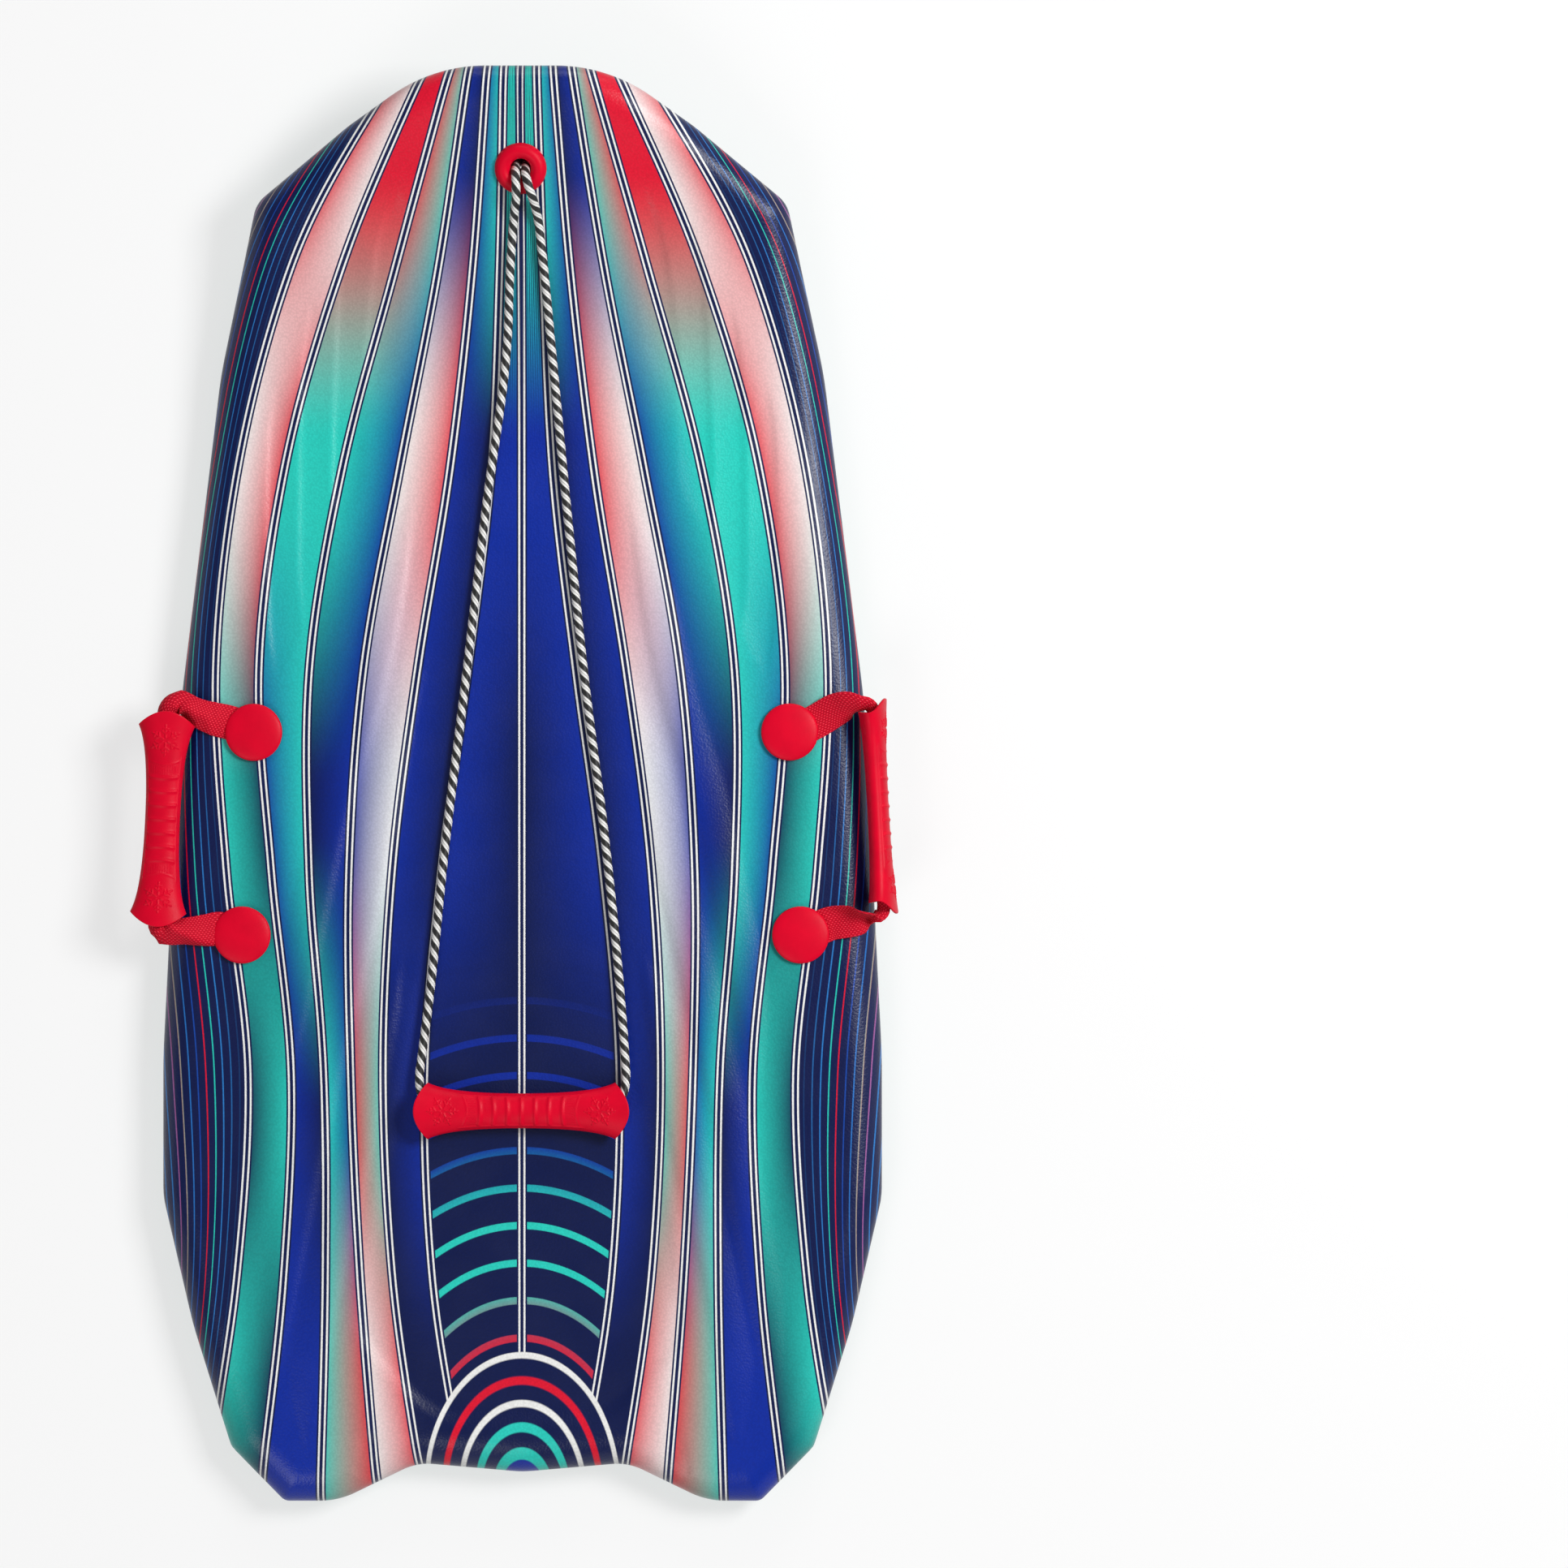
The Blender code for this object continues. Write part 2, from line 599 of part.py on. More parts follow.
def build_board(parts, cutters):
    outer, inner = OUTER_TURN_SHARES, INNER_TURN_SHARES
    deck = deck_rings(0, outer[::-1]) + deck_rings(DECK_SKIN_THICKNESS, inner)
    deck_skin = board_layer("deck_skin", deck, "deck_print", parts)
    base = base_rings(0, outer[::-1]) + base_rings(SLICK_THICKNESS, inner)
    slick_base = board_layer("slick_base", base, "slick", parts)
    above = deck_rings(DECK_SKIN_THICKNESS + GAP, inner[::-1])
    below = base_rings(SLICK_THICKNESS + GAP, inner)
    middle = (DECK_SKIN_THICKNESS + GAP, SEAM_Z)
    foam_core = board_layer("foam_core", above[:-1] + [middle] + below[1:], "foam", parts)
    holes = plug_holes(cutters)
    boolean(deck_skin, deck_dish(cutters), "DIFFERENCE")
    boolean(deck_skin, deck_swells(cutters), "UNION")
    boolean(deck_skin, deck_flutes(cutters), "DIFFERENCE")
    boolean(deck_skin, tow_seat(cutters), "DIFFERENCE")
    boolean(slick_base, base_ridges(cutters), "UNION")
    boolean(slick_base, base_grooves(cutters), "DIFFERENCE")
    boolean(slick_base, base_seats(cutters), "DIFFERENCE")
    for layer in (deck_skin, slick_base, foam_core):
        boolean(layer, holes, "DIFFERENCE")


# Plugs
def turned(name, profile, finish, collection, steps, closed=False):
    """A body turned from a profile of radius and height, listed down its outer side."""
    mesh = bpy.data.meshes.new(name)
    edges = [(k, k + 1) for k in range(len(profile) - 1)]
    if closed:
        edges.append((len(profile) - 1, 0))
    mesh.from_pydata([(r, 0, z) for r, z in profile], edges, [])
    mesh.materials.append(bpy.data.materials[finish])
    obj = bpy.data.objects.new(name, mesh)
    collection.objects.link(obj)
    screw = obj.modifiers.new("Turn", "SCREW")
    screw.steps = screw.render_steps = steps
    screw.use_merge_vertices = True
    screw.merge_threshold = WELD
    return obj


def deck_cap_profile():
    """A low dome with a barbed stem, from its crown down to the stem's tip."""
    r, stem, barb = CAP_RADIUS, STEM_RADIUS, STEM_RADIUS + BARB_HEIGHT
    tip = cap_tip()
    profile = [(0, CAP_CROWN), (r * 0.5, CAP_CROWN * 0.93), (r * 0.82, CAP_CROWN * 0.66), (r, CAP_LIP)]
    profile += [(r, 0), (stem, 0)]
    for k in range(BARB_COUNT, 0, -1):
        foot = tip + k * BARB_PITCH
        profile += [(stem - BARB_HEIGHT, foot), (barb, foot - BARB_HEIGHT)]
    return profile + [(stem - BARB_HEIGHT, tip), (0, tip)]


def cap_tip():
    """Height of the stem's tip over the deck cap's underside: it stops short of the socket's floor."""
    return SLICK_Z + BASE_CAP_RECESS - CAP_Z + SOCKET_FLOOR + GAP


def base_cap_profile():
    """A low dome with a socket tube, from the tube's floor over its rim and down to the crown."""
    r = BASE_CAP_RADIUS
    top = DECK_Z - SLICK_Z - BASE_CAP_RECESS
    floor = SOCKET_FLOOR
    inside = [(0, floor), (TUBE_RADIUS, floor), (TUBE_RADIUS, top), (TUBE_OUTER_RADIUS, top)]
    rim = [(TUBE_OUTER_RADIUS, 0), (r, 0), (r, -CAP_LIP)]
    return inside + rim + [(r * 0.8, -BASE_CAP_CROWN * 0.75), (0, -BASE_CAP_CROWN)]


def build_strap_plugs(parts):
    for place, (x, y) in plug_places().items():
        cap = turned(f"deck_cap_{place}", deck_cap_profile(), "red_plastic", parts, TURNED_STEPS)
        cap.location = (x, y, CAP_Z)
        base = turned(f"base_cap_{place}", base_cap_profile(), "red_plastic", parts, TURNED_STEPS)
        base.location = (x, y, SLICK_Z + BASE_CAP_RECESS - GAP)


def tow_top_profile():
    """A round flange with a funnel mouth, and the stem with its bore."""
    flange, stem, bore = TOW_FLANGE_RADIUS, TOW_STEM_RADIUS, TOW_BORE_RADIUS
    lip, height, seat = TOW_LIP_RADIUS, TOW_LIP_HEIGHT, GAP - TOW_SEAT_DEPTH
    foot = TOW_BASE_Z + SOCKET_FLOOR + GAP
    outside = [(lip, height), (flange * 0.86, height * 0.8), (flange, height * 0.3), (flange, seat)]
    return outside + [(stem, seat), (stem, foot), (bore, foot), (bore, 0), (bore * 1.15, height * 0.65)]


def tow_base_profile():
    """A domed cap with a dish round its hole, and the tube that holds the stem."""
    edge, dish, top = TOW_BASE_RADIUS, TOW_DISH_RADIUS, TOW_BASE_Z
    bore, tube, outer = TOW_BORE_RADIUS, TOW_TUBE_RADIUS, TOW_TUBE_OUTER_RADIUS
    low = top - TOW_BASE_CROWN
    outside = [(tube, -TOW_TUBE_START), (outer, -TOW_TUBE_START), (outer, top), (edge, top)]
    crown = [(edge, top - CAP_LIP), (edge * 0.9, top - TOW_BASE_CROWN * 0.7)]
    crown += [((edge + dish) / 2, low), (dish, low)]
    inside = [(dish * 0.8, low + TOW_DISH_DEPTH * 0.8), (bore, low + TOW_DISH_DEPTH)]
    return outside + crown + inside + [(bore, top + SOCKET_FLOOR), (tube, top + SOCKET_FLOOR)]


def build_tow_plug(parts):
    top = turned("tow_plug_top", tow_top_profile(), "red_plastic", parts, TOW_TURNED_STEPS, closed=True)
    base = turned("tow_plug_base", tow_base_profile(), "red_plastic", parts, TOW_TURNED_STEPS, closed=True)
    for plug in (top, base):
        plug.matrix_world = tow_frame()


# Grips
def rib_shares():
    """Places of the rib crests and the valleys between them, and the crests' share of the rib height."""
    reach = RIB_COUNT * RIB_PITCH / 2
    steps = 2 * RIB_COUNT
    return [((reach * (2 * k / steps - 1)) / (GRIP_LENGTH / 2), k % 2) for k in range(steps + 1)]


def grip_section(share, wall, rib=0):
    """A ring of the grip at a share of its half length, its ends bowed out in the middle."""
    flare = abs(share) ** GRIP_FLARE_POWER
    width = GRIP_WAIST_WIDTH + (GRIP_MOUTH_WIDTH - GRIP_WAIST_WIDTH) * flare
    thickness = GRIP_WAIST_THICKNESS + (GRIP_MOUTH_THICKNESS - GRIP_WAIST_THICKNESS) * flare
    across, through = width / 2 - wall, thickness / 2 - wall
    bow = max(0, 2 * abs(share) - 1) ** 2
    ring = []
    for k in range(GRIP_SIDES):
        angle = 2 * math.pi * k / GRIP_SIDES
        raised = rib * RIB_HEIGHT * max(0, math.sin(angle)) ** 0.5
        drop = GRIP_END_DROP * bow * math.cos(angle) ** 2
        y = math.copysign(abs(share) * GRIP_LENGTH / 2 - drop, share)
        ring.append((math.cos(angle) * across, y, math.sin(angle) * (through + raised)))
    return ring


def new_grip(name, parts):
    """A grip along Y with its ribbed face up, its bore open at both mouths."""
    ends = [(share, 0) for share in MOUTH_SHARES]
    outside = ends + rib_shares()[::-1] + [(-share, rib) for share, rib in reversed(ends)]
    bores = [-share for share in BORE_SHARES] + list(BORE_SHARES[-2::-1])
    sections = [grip_section(share, 0, rib) for share, rib in outside]
    sections += [grip_section(share, GRIP_WALL) for share in bores]
    bm = bmesh.new()
    loops = [[bm.verts.new(point) for point in section] for section in sections]
    for loop, following in zip(loops, loops[1:] + loops[:1]):
        bridge(bm, loop, following)
    grip = new_object(name, bm, parts, "red_plastic")
    shade(grip)
    return grip


def grip_frame(ends, roll=0):
    """A grip's frame from the middles of its mouths, front first, rolled outwards about its length."""
    front, rear = (Vector((*end, GRIP_Z)) for end in ends)
    along = (front - rear).normalized()
    turn = Matrix.Rotation(math.atan2(-along.x, along.y), 4, "Z")
    return Matrix.Translation((front + rear) / 2) @ turn @ Matrix.Rotation(roll, 4, "Y")


def tow_grip_frame():
    place = (0, TOW_GRIP_Y, DECK_Z - dish_depth(TOW_GRIP_Y) + GRIP_MOUTH_THICKNESS / 2 + TOW_GRIP_RISE)
    return Matrix.Translation(place) @ Matrix.Rotation(math.pi / 2, 4, "Z")


# Straps
def strap_rows(shares, cap, mouth, inward, reach):
    """Rows of place, width, thickness and twist from a cap to the grip's mouth and into its bore."""
    cap, mouth, inward = Vector((*cap, 0)), Vector((*mouth, 0)), Vector((*inward, 0))
    outward = -inward
    along = (mouth - cap).dot(outward)
    across = mouth - cap - outward * along
    rows = []
    for over, forward, past, rise, width, folds, twist in shares:
        point = cap + across * over + outward * (along * forward + reach * past)
        height = STRAP_Z + (GRIP_Z - STRAP_Z) * rise
        sizes = (STRAP_WIDTH * width, STRAP_THICKNESS * folds, twist * math.pi / 2)
        rows.append((point.x, point.y, height, *sizes))
    return rows


def strap_section(row, way, sense):
    """The webbing's four corners at a row: its width turned up by the twist."""
    way = Vector(way).normalized()
    level = way.cross(Vector((0, 0, 1))).normalized() * sense
    across = Matrix.Rotation(row[5] * sense, 3, way) @ level
    through = way.cross(across).normalized()
    middle = Vector(row[:3])
    corners = ((-1, -1), (1, -1), (1, 1), (-1, 1))
    return [middle + across * u * row[3] / 2 + through * v * row[4] / 2 for u, v in corners]


def new_strap(name, shares, front_cap, rear_cap, grip_ends, reach, sense, parts, cutters):
    front, rear = (Vector(end) for end in grip_ends)
    back = (rear - front).normalized()
    ahead = strap_rows(shares, front_cap, front, back, reach)
    behind = strap_rows(shares, rear_cap, rear, -back, reach)
    for k, row in enumerate(behind):
        behind[k] = (*row[:5], math.pi - row[5])
    line = smooth_line(ahead + behind[::-1], STRAP_STEP)
    ways = np.gradient(line[:, :3], axis=0)
    bm = bmesh.new()
    loft(bm, [strap_section(row, way, sense) for row, way in zip(line, ways)])
    strap = new_object(name, bm, parts, "red_webbing")
    bm = bmesh.new()
    for x, y in (front_cap, rear_cap):
        place = Matrix.Translation((x, y, 0))
        add_drum(bm, place, TURNED_STEPS, STEM_RADIUS + 2 * GAP, DECK_Z, CAP_Z + OVERRUN)
    boolean(strap, new_object(f"{name}_holes", bm, cutters), "DIFFERENCE")
    return strap


# Rope
def rope_line():
    frame = tow_frame()
    end = (ROPE_UP_THE_BORE[0][0], 0, TOW_BASE_Z - TOW_BASE_CROWN + TOW_DISH_DEPTH + GAP)
    up = [frame @ Vector((-x, back, rise)) for x, back, rise in (end, *ROPE_UP_THE_BORE)]
    down = [frame @ Vector((x, back, rise)) for x, back, rise in (end, *ROPE_UP_THE_BORE)][::-1]
    return smooth_line([*up, *LEFT_ROPE_RUN, *RIGHT_ROPE_RUN, *down], ROPE_STEP)


def build_rope(parts):
    curve = bpy.data.curves.new("tow_rope", "CURVE")
    curve.dimensions = "3D"
    curve.bevel_depth = ROPE_RADIUS
    curve.bevel_resolution = 2
    curve.use_fill_caps = True
    curve.materials.append(bpy.data.materials["cord"])
    line = rope_line()
    spline = curve.splines.new("POLY")
    spline.points.add(len(line) - 1)
    for point, place in zip(spline.points, line):
        point.co = (*place, 1)
    rope = bpy.data.objects.new("tow_rope", curve)
    parts.objects.link(rope)
    return rope


def build_knot(parts, cutters):
    """A flattened knot under the tow plug's base, with two cut tails."""
    frame = tow_frame()
    top = TOW_BASE_Z - TOW_BASE_CROWN + TOW_DISH_DEPTH
    middle = frame @ Matrix.Translation((0, 0, top - KNOT_RADII[2]))
    bm = bmesh.new()
    sizes = Matrix.Diagonal((*KNOT_RADII, 1))
    bmesh.ops.create_uvsphere(bm, u_segments=10, v_segments=6, radius=1, matrix=middle @ sizes)
    knot = new_object("rope_knot", bm, parts, "cord")
    bm = bmesh.new()
    for side in (-1, 1):
        tail = middle @ Matrix.Translation((side * KNOT_RADII[0] / 2, -KNOT_RADII[1], -KNOT_TAIL_DROP))
        tail = tail @ Matrix.Rotation(math.radians(100), 4, "X")
        sizes = {"radius1": ROPE_RADIUS, "radius2": ROPE_RADIUS, "depth": KNOT_TAIL_LENGTH}
        bmesh.ops.create_cone(bm, cap_ends=True, segments=8, matrix=tail, **sizes)
    boolean(knot, new_object("knot_tails", bm, cutters), "UNION")
    return knot


# Joints
def new_pivot(name, place, parts, parent=None):
    pivot = bpy.data.objects.new(name, None)
    pivot.location = place
    parts.objects.link(pivot)
    if parent:
        bpy.context.view_layer.update()
        pivot.parent = parent
        pivot.matrix_parent_inverse = parent.matrix_world.inverted()
    return pivot


def carry(pivot, *objects):
    """Parents objects to a pivot and leaves them where they are."""
    bpy.context.view_layer.update()
    for obj in objects:
        obj.parent = pivot
        obj.matrix_parent_inverse = pivot.matrix_world.inverted()


def build_handle(side, shares, caps, grip_ends, reach, roll, parts, cutters):
    """A side handle: the strap on a pivot at the caps' outer rims, and the grip that rolls on it."""
    sense = -1 if side == "left" else 1
    strap = new_strap(f"{side}_strap", shares, *caps, grip_ends, reach, sense, parts, cutters)
    grip = new_grip(f"{side}_grip", parts)
    grip.matrix_world = grip_frame(grip_ends, roll)
    middle = (Vector(caps[0]) + Vector(caps[1])) / 2
    swing = new_pivot(f"{side}_handle_pivot", (middle.x + sense * CAP_RADIUS, middle.y, STRAP_Z), parts)
    roll_pivot = new_pivot(f"{side}_grip_pivot", grip_frame(grip_ends).translation, parts, swing)
    carry(swing, strap)
    carry(roll_pivot, grip)


def build_bridle(parts, cutters):
    rope = build_rope(parts)
    build_knot(parts, cutters)
    grip = new_grip("tow_grip", parts)
    grip.matrix_world = tow_grip_frame()
    swing = new_pivot("tow_pivot", tow_frame() @ Vector((0, 0, TOW_LIP_HEIGHT)), parts)
    roll_pivot = new_pivot("tow_grip_pivot", tow_grip_frame().translation, parts, swing)
    carry(swing, rope)
    carry(roll_pivot, grip)


def main():
    clear_scene()
    parts = new_collection("foam_snow_sled")
    cutters = new_collection("cutters")
    for finish in FINISHES:
        new_material(finish)
    build_board(parts, cutters)
    build_strap_plugs(parts)
    build_tow_plug(parts)
    build_bridle(parts, cutters)
    caps = list(plug_places().values())
    left_ends, right_ends = from_widest_line(-1, LEFT_GRIP_ENDS), from_widest_line(1, RIGHT_GRIP_ENDS)
    left = (LEFT_STRAP_SHARES, caps[:2], left_ends, LEFT_STRAP_REACH, 0)
    right = (RIGHT_STRAP_SHARES, caps[2:], right_ends, RIGHT_STRAP_REACH, RIGHT_GRIP_ROLL)
    build_handle("left", *left, parts, cutters)
    build_handle("right", *right, parts, cutters)


main()
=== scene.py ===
"""Foam snow sled: the finished look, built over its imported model.

The file is laid out as a Blender add-on and is run as a script. Lengths are in metres, in the frame of
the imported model: the sled lies on its underside, the nose towards +Y, with its origin on the floor.
"""

import functools
import math

import bmesh
import bpy
import numpy as np
from bpy.props import FloatProperty, FloatVectorProperty, PointerProperty
from mathutils import Matrix, Vector


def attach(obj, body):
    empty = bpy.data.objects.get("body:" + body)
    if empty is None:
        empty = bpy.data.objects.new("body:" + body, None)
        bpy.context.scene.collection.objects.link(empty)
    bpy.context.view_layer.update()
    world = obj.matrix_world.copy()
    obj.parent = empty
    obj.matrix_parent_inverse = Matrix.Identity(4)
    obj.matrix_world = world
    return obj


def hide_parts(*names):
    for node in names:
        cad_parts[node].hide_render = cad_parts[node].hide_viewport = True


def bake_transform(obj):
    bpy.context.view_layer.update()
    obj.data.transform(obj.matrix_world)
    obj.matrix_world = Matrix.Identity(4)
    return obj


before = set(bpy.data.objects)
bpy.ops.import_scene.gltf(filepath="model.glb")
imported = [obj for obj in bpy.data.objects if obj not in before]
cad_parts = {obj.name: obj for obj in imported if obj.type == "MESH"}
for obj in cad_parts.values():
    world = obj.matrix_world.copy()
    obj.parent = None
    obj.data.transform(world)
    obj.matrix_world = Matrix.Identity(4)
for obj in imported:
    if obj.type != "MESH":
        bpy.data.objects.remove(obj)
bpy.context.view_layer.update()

bl_info = {
    "name": "Foam snow sled",
    "version": (1, 0, 0),
    "blender": (4, 5, 0),
    "location": "3D View > Sidebar > Snow sled",
    "description": "Builds the board, plugs, tow bridle and handles of a foam snow sled",
    "category": "Add Mesh",
}

# Clearances
GAP = 0.0003
OVERRUN = 0.002
WELD = 0.000004

# Board: corners of the left half from nose to tail, as x of the half width, y of the half length,
# fillet of the half width and steps of its arc. The grid's own corners are the two that are named
OUTLINE_SHARES = (
    (0.2415, 1.0, 0.463, 14),
    (0.4798, 0.9171, 0.39, 8),
    (0.7363, 0.8121, 0.0914, 12),
    (0.8388, 0.5742, 1.3, 8),
    (0.9514, 0.1148, 2.0, 8),
    (1.0, -0.3774, 2.0, 8),
    (1.0, -0.5742, 0.228, 8),
    (0.9171, -0.7531, 1.0, 8),
    (0.8107, -0.9237, 0.049, 8),
    (0.6622, -1.0, 0.0326, 8),
    (0.5124, -1.0, 0.228, 12),
    (0.2937, -0.9467, 0.163, 12),
    (0.0, -0.9595, 0.3, 4),
)
SHOULDER_CORNER, TAIL_CORNER = 2, 9
LEAST_FILLET = 0.002
RAIL_RINGS = 10
BOARD_COLUMNS = 206
BOARD_ROWS = 190
SLICK_Z = 0.002
FACE_SHARE = 0.49
FINE_REACH = 0.040
FINE_CUTS = 2
CUTTER_DEPTH = 0.2
CUTTER_Z = 0.05
CUTTER_SIDES, TOW_CUTTER_SIDES = 32, 48

# Deck relief
DISH_CORNER_SHARES = (
    (0.176, 0.10, 0.05, 6),
    (0.359, -0.402, 0.9, 6),
    (0.486, -0.77, 0.16, 8),
    (0.25, -0.897, 0.25, 8),
)
DISH_SLOPE = 0.016
DISH_RUN_OUT_SHARE = 0.12
SWELL_HALF_WIDTH = 0.017
SWELL_FLANKS = (1.5, 0.55)
SWELL_SHARES = (
    ((0.33, -0.23), (0.40, -0.40), (0.458, -0.555), (0.517, -0.67), (0.60, -0.935)),
    ((0.255, 0.20), (0.316, 0.085), (0.40, -0.13), (0.48, -0.30), (0.58, -0.53), (0.715, -0.885)),
    ((0.297, 0.413), (0.336, 0.30), (0.414, 0.113), (0.48, 0.005), (0.56, -0.17), (0.66, -0.43)),
)
FLUTE_HALF_WIDTH = 0.010
FLUTE_FLANKS = (0.7, 2.4)
FLUTE_SHARES = (
    ((0.34, 0.83), (0.385, 0.74), (0.41, 0.64), (0.425, 0.553)),
    ((0.47, 0.79), (0.49, 0.68), (0.503, 0.56), (0.512, 0.356)),
    ((0.58, 0.68), (0.595, 0.55), (0.603, 0.216)),
    ((0.68, 0.56), (0.69, 0.42), (0.68, 0.15)),
    ((0.43, -0.90), (0.445, -0.94), (0.46, -0.965)),
)

# Underside relief
RIDGE_HALF_WIDTH = 0.0055
RIDGE_POWER = 0.8
RIDGE_POINTS = 9
RIDGES = ((0.0345, 0.461, -0.474), (0.0973, 0.392, -0.522))
GROOVE_HALF_WIDTH = 0.010
GROOVE_SHARES = (
    (0.486, 0.79),
    (0.494, 0.67),
    (0.503, 0.55),
    (0.513, 0.426),
    (0.545, -0.1),
    (0.565, -0.5),
    (0.575, -0.84),
    (0.58, -0.95),
)
STRAKE_STEP = 0.03
STRAKE_POWER = 1.2
STRAKE_TAPER_SHARE = 0.2
LEAST_SWELL_SHARE = 0.04

# Printed design: edges of the ribbons from the middle outwards, as shares of the half width, at
# stations from nose to tail in shares of the half length
RIBBON_STATIONS = (1.0, 0.72, 0.44, 0.16, -0.12, -0.40, -0.68, -1.0)
RIBBON_EDGES = (
    (0.045, 0.060, 0.085, 0.150, 0.225, 0.270, 0.250, 0.150),
    (0.090, 0.135, 0.200, 0.290, 0.360, 0.385, 0.360, 0.270),
    (0.140, 0.230, 0.340, 0.440, 0.480, 0.475, 0.450, 0.400),
    (0.190, 0.350, 0.500, 0.590, 0.590, 0.550, 0.545, 0.560),
    (0.260, 0.500, 0.660, 0.730, 0.695, 0.640, 0.660, 0.730),
    (0.340, 0.640, 0.790, 0.850, 0.820, 0.760, 0.790, 0.890),
    (0.480, 0.860, 0.960, 1.050, 1.080, 1.040, 1.000, 1.080),
)

# Inks of each ribbon's inner and outer edge, from the middle outwards: navy, royal blue, turquoise,
# red (d) and white. A set begins to show at the first place along the board and is full at the second
RIBBON_INKS = (
    (1.1, 1.0, "tt tr nr td dd wd nn"),
    (0.93, 0.74, "rr nr dw rt tt dw nn"),
    (0.72, 0.50, "nr nr wr rn tr nt nn"),
    (0.47, 0.27, "nn rn td rt nr tn nn"),
    (0.26, 0.08, "nn nn dw dt rr nt nn"),
)
RIBBON_STEP = 0.02
RIBBON_BLEND_SHARES = (0.002, 0.998)
# A pinstripe's navy margin and its white line, each from where it fades to where it is full, from the
# ribbon's edge
PINSTRIPE_MARGIN = (0.0046, 0.0042)
PINSTRIPE_INSIDE = (0.0012, 0.0015)
PINSTRIPE_OUTSIDE = (0.0031, 0.0028)
# Hairlines, 12 to the outer ribbon and 11 to the middle one, and the inks of the outer ones: those above,
# and sky blue (s)
HAIRLINE_PITCH = 1 / (12 * len(RIBBON_EDGES))
NOSE_LINE_PITCH = 1 / (11 * len(RIBBON_EDGES))
HAIRLINE_INK = 0.9
HAIRLINE_STOPS = (
    (0.0, "s"),
    (0.899, "s"),
    (0.90, "t"),
    (0.911, "t"),
    (0.912, "d"),
    (0.923, "d"),
    (0.924, "r"),
    (0.946, "s"),
    (0.947, "t"),
    (0.958, "d"),
    (0.970, "s"),
)
# Rings at the tail, and arcs in the middle ribbon that go on from them: their middle, their squash along
# the board and the outer ring's radius. The rest is in shares of that radius, and m is mauve
RINGS_Y = -0.5972
RINGS_SQUASH = 0.72
RINGS_RADIUS = 0.085
ARC_PITCH_SHARE = 0.2703
ARCS_REACH_SHARE = 4.0
ARC_STOPS = ((0.25, "d"), (0.31, "m"), (0.36, "t"), (0.50, "t"), (0.62, "r"), (0.78, "r"), (0.95, "n"))
RING_BANDS = (
    (0.0, 0.20, "r"),
    (0.21, 0.29, "t"),
    (0.30, 0.40, "n"),
    (0.41, 0.47, "t"),
    (0.48, 0.58, "n"),
    (0.59, 0.63, "w"),
    (0.64, 0.74, "n"),
    (0.75, 0.80, "d"),
    (0.81, 0.93, "n"),
    (0.94, 0.97, "w"),
)

# Patterns of the finishes: the width of their marks
PRINT_DRIFT = 0.0385
SLICK_MOTTLE = 0.111
SLICK_RIPPLE = 0.00238
MOULD_FROST = 0.00091
MOULD_DRIFT = 0.0167
GRIP_FLUTE = 0.0013
FLUTES_BEGIN, FLUTES_END, FLUTES_SIDE = (0.0370, 0.0380), (0.0470, 0.0455), (0.0115, 0.0105)
THREAD_WIDTH, THREAD_LENGTH = 0.0018, 0.0030
# Webbing: the share of its colour left in the painted shade between the threads, and the share of painted
# highlight on their crests
THREAD_PAINTED_SHADE, THREAD_PAINTED_HIGHLIGHT = 0.62, 0.8
FIBRE_COUNT, FIBRE_BREAKS = 60.0, 3

# Sockets of a Mix node: its two colours, and their mixture
FIRST, SECOND, MIXED = 6, 7, 2

# Strap plugs, by place: middle on the board
PLUG_PLACES = {
    "left_front": (-0.2278, 0.0456),
    "left_rear": (-0.2377, -0.1266),
    "right_front": (0.2277, 0.0459),
    "right_rear": (0.2370, -0.1266),
}
CAP_LIP = 0.0010
CAP_POWER = 0.84
CAP_RIM_FILLET = 0.0004
DOME_POINTS = 18
RIM_STEPS = 3
DECK_STEM_SHARE = 0.7
BASE_TUBE_SHARE = 0.6
SOCKET_FLOOR = 0.0014
STEM_RADIUS = 0.0060
TUBE_WALL = 0.0025
DIMPLE_DEPTH = 0.0022
DIMPLE_FLARE = 0.005
TURNED_SIDES = 72
ARC_STEPS = 12

# Tow plug
TOW_Y = 0.5227
TOW_BORE_RADIUS = 0.0085
TOW_STEM_RADIUS = 0.0120
TOW_LIP_HEIGHT = 0.0070
TOW_SEAT_DEPTH = 0.0005
TOW_BASE_SEAT_DEPTH = 0.0010
TOW_BASE_CROWN = 0.0070
TOW_DISH_RADIUS = 0.0175
TOW_DISH_DEPTH = 0.0036
TOW_TUBE_TOP = -0.008
TOW_SHOULDER = 0.010
TOW_STEM_STOP = 0.0017
TOW_LIP_STEPS = 30
TOW_DISH_POINTS = 10
TOW_DIMPLE_DEPTH = 0.0008
TOW_DIMPLE_FLARE = 0.012
HOLE_SHARE = 1.02

# Rope's way out of the knot, in the grommet's own tilted frame: x of the left strand and of the
# right one, then back along and up from the grommet's middle
ROPE_UP_THE_BORE = (
    (-0.0042, 0.0042, 0.0, -0.0300),
    (-0.0042, 0.0042, 0.0, -0.0150),
    (-0.0042, 0.0042, 0.0002, -0.0030),
    (-0.0041, 0.0043, 0.0020, 0.0040),
    (-0.0038, 0.0051, 0.0062, 0.0098),
    (-0.0036, 0.0070, 0.0130, 0.0132),
    (-0.0037, 0.0096, 0.0210, 0.0130),
    (-0.0046, 0.0121, 0.0300, 0.0098),
    (-0.0057, 0.0141, 0.0400, 0.0063),
)
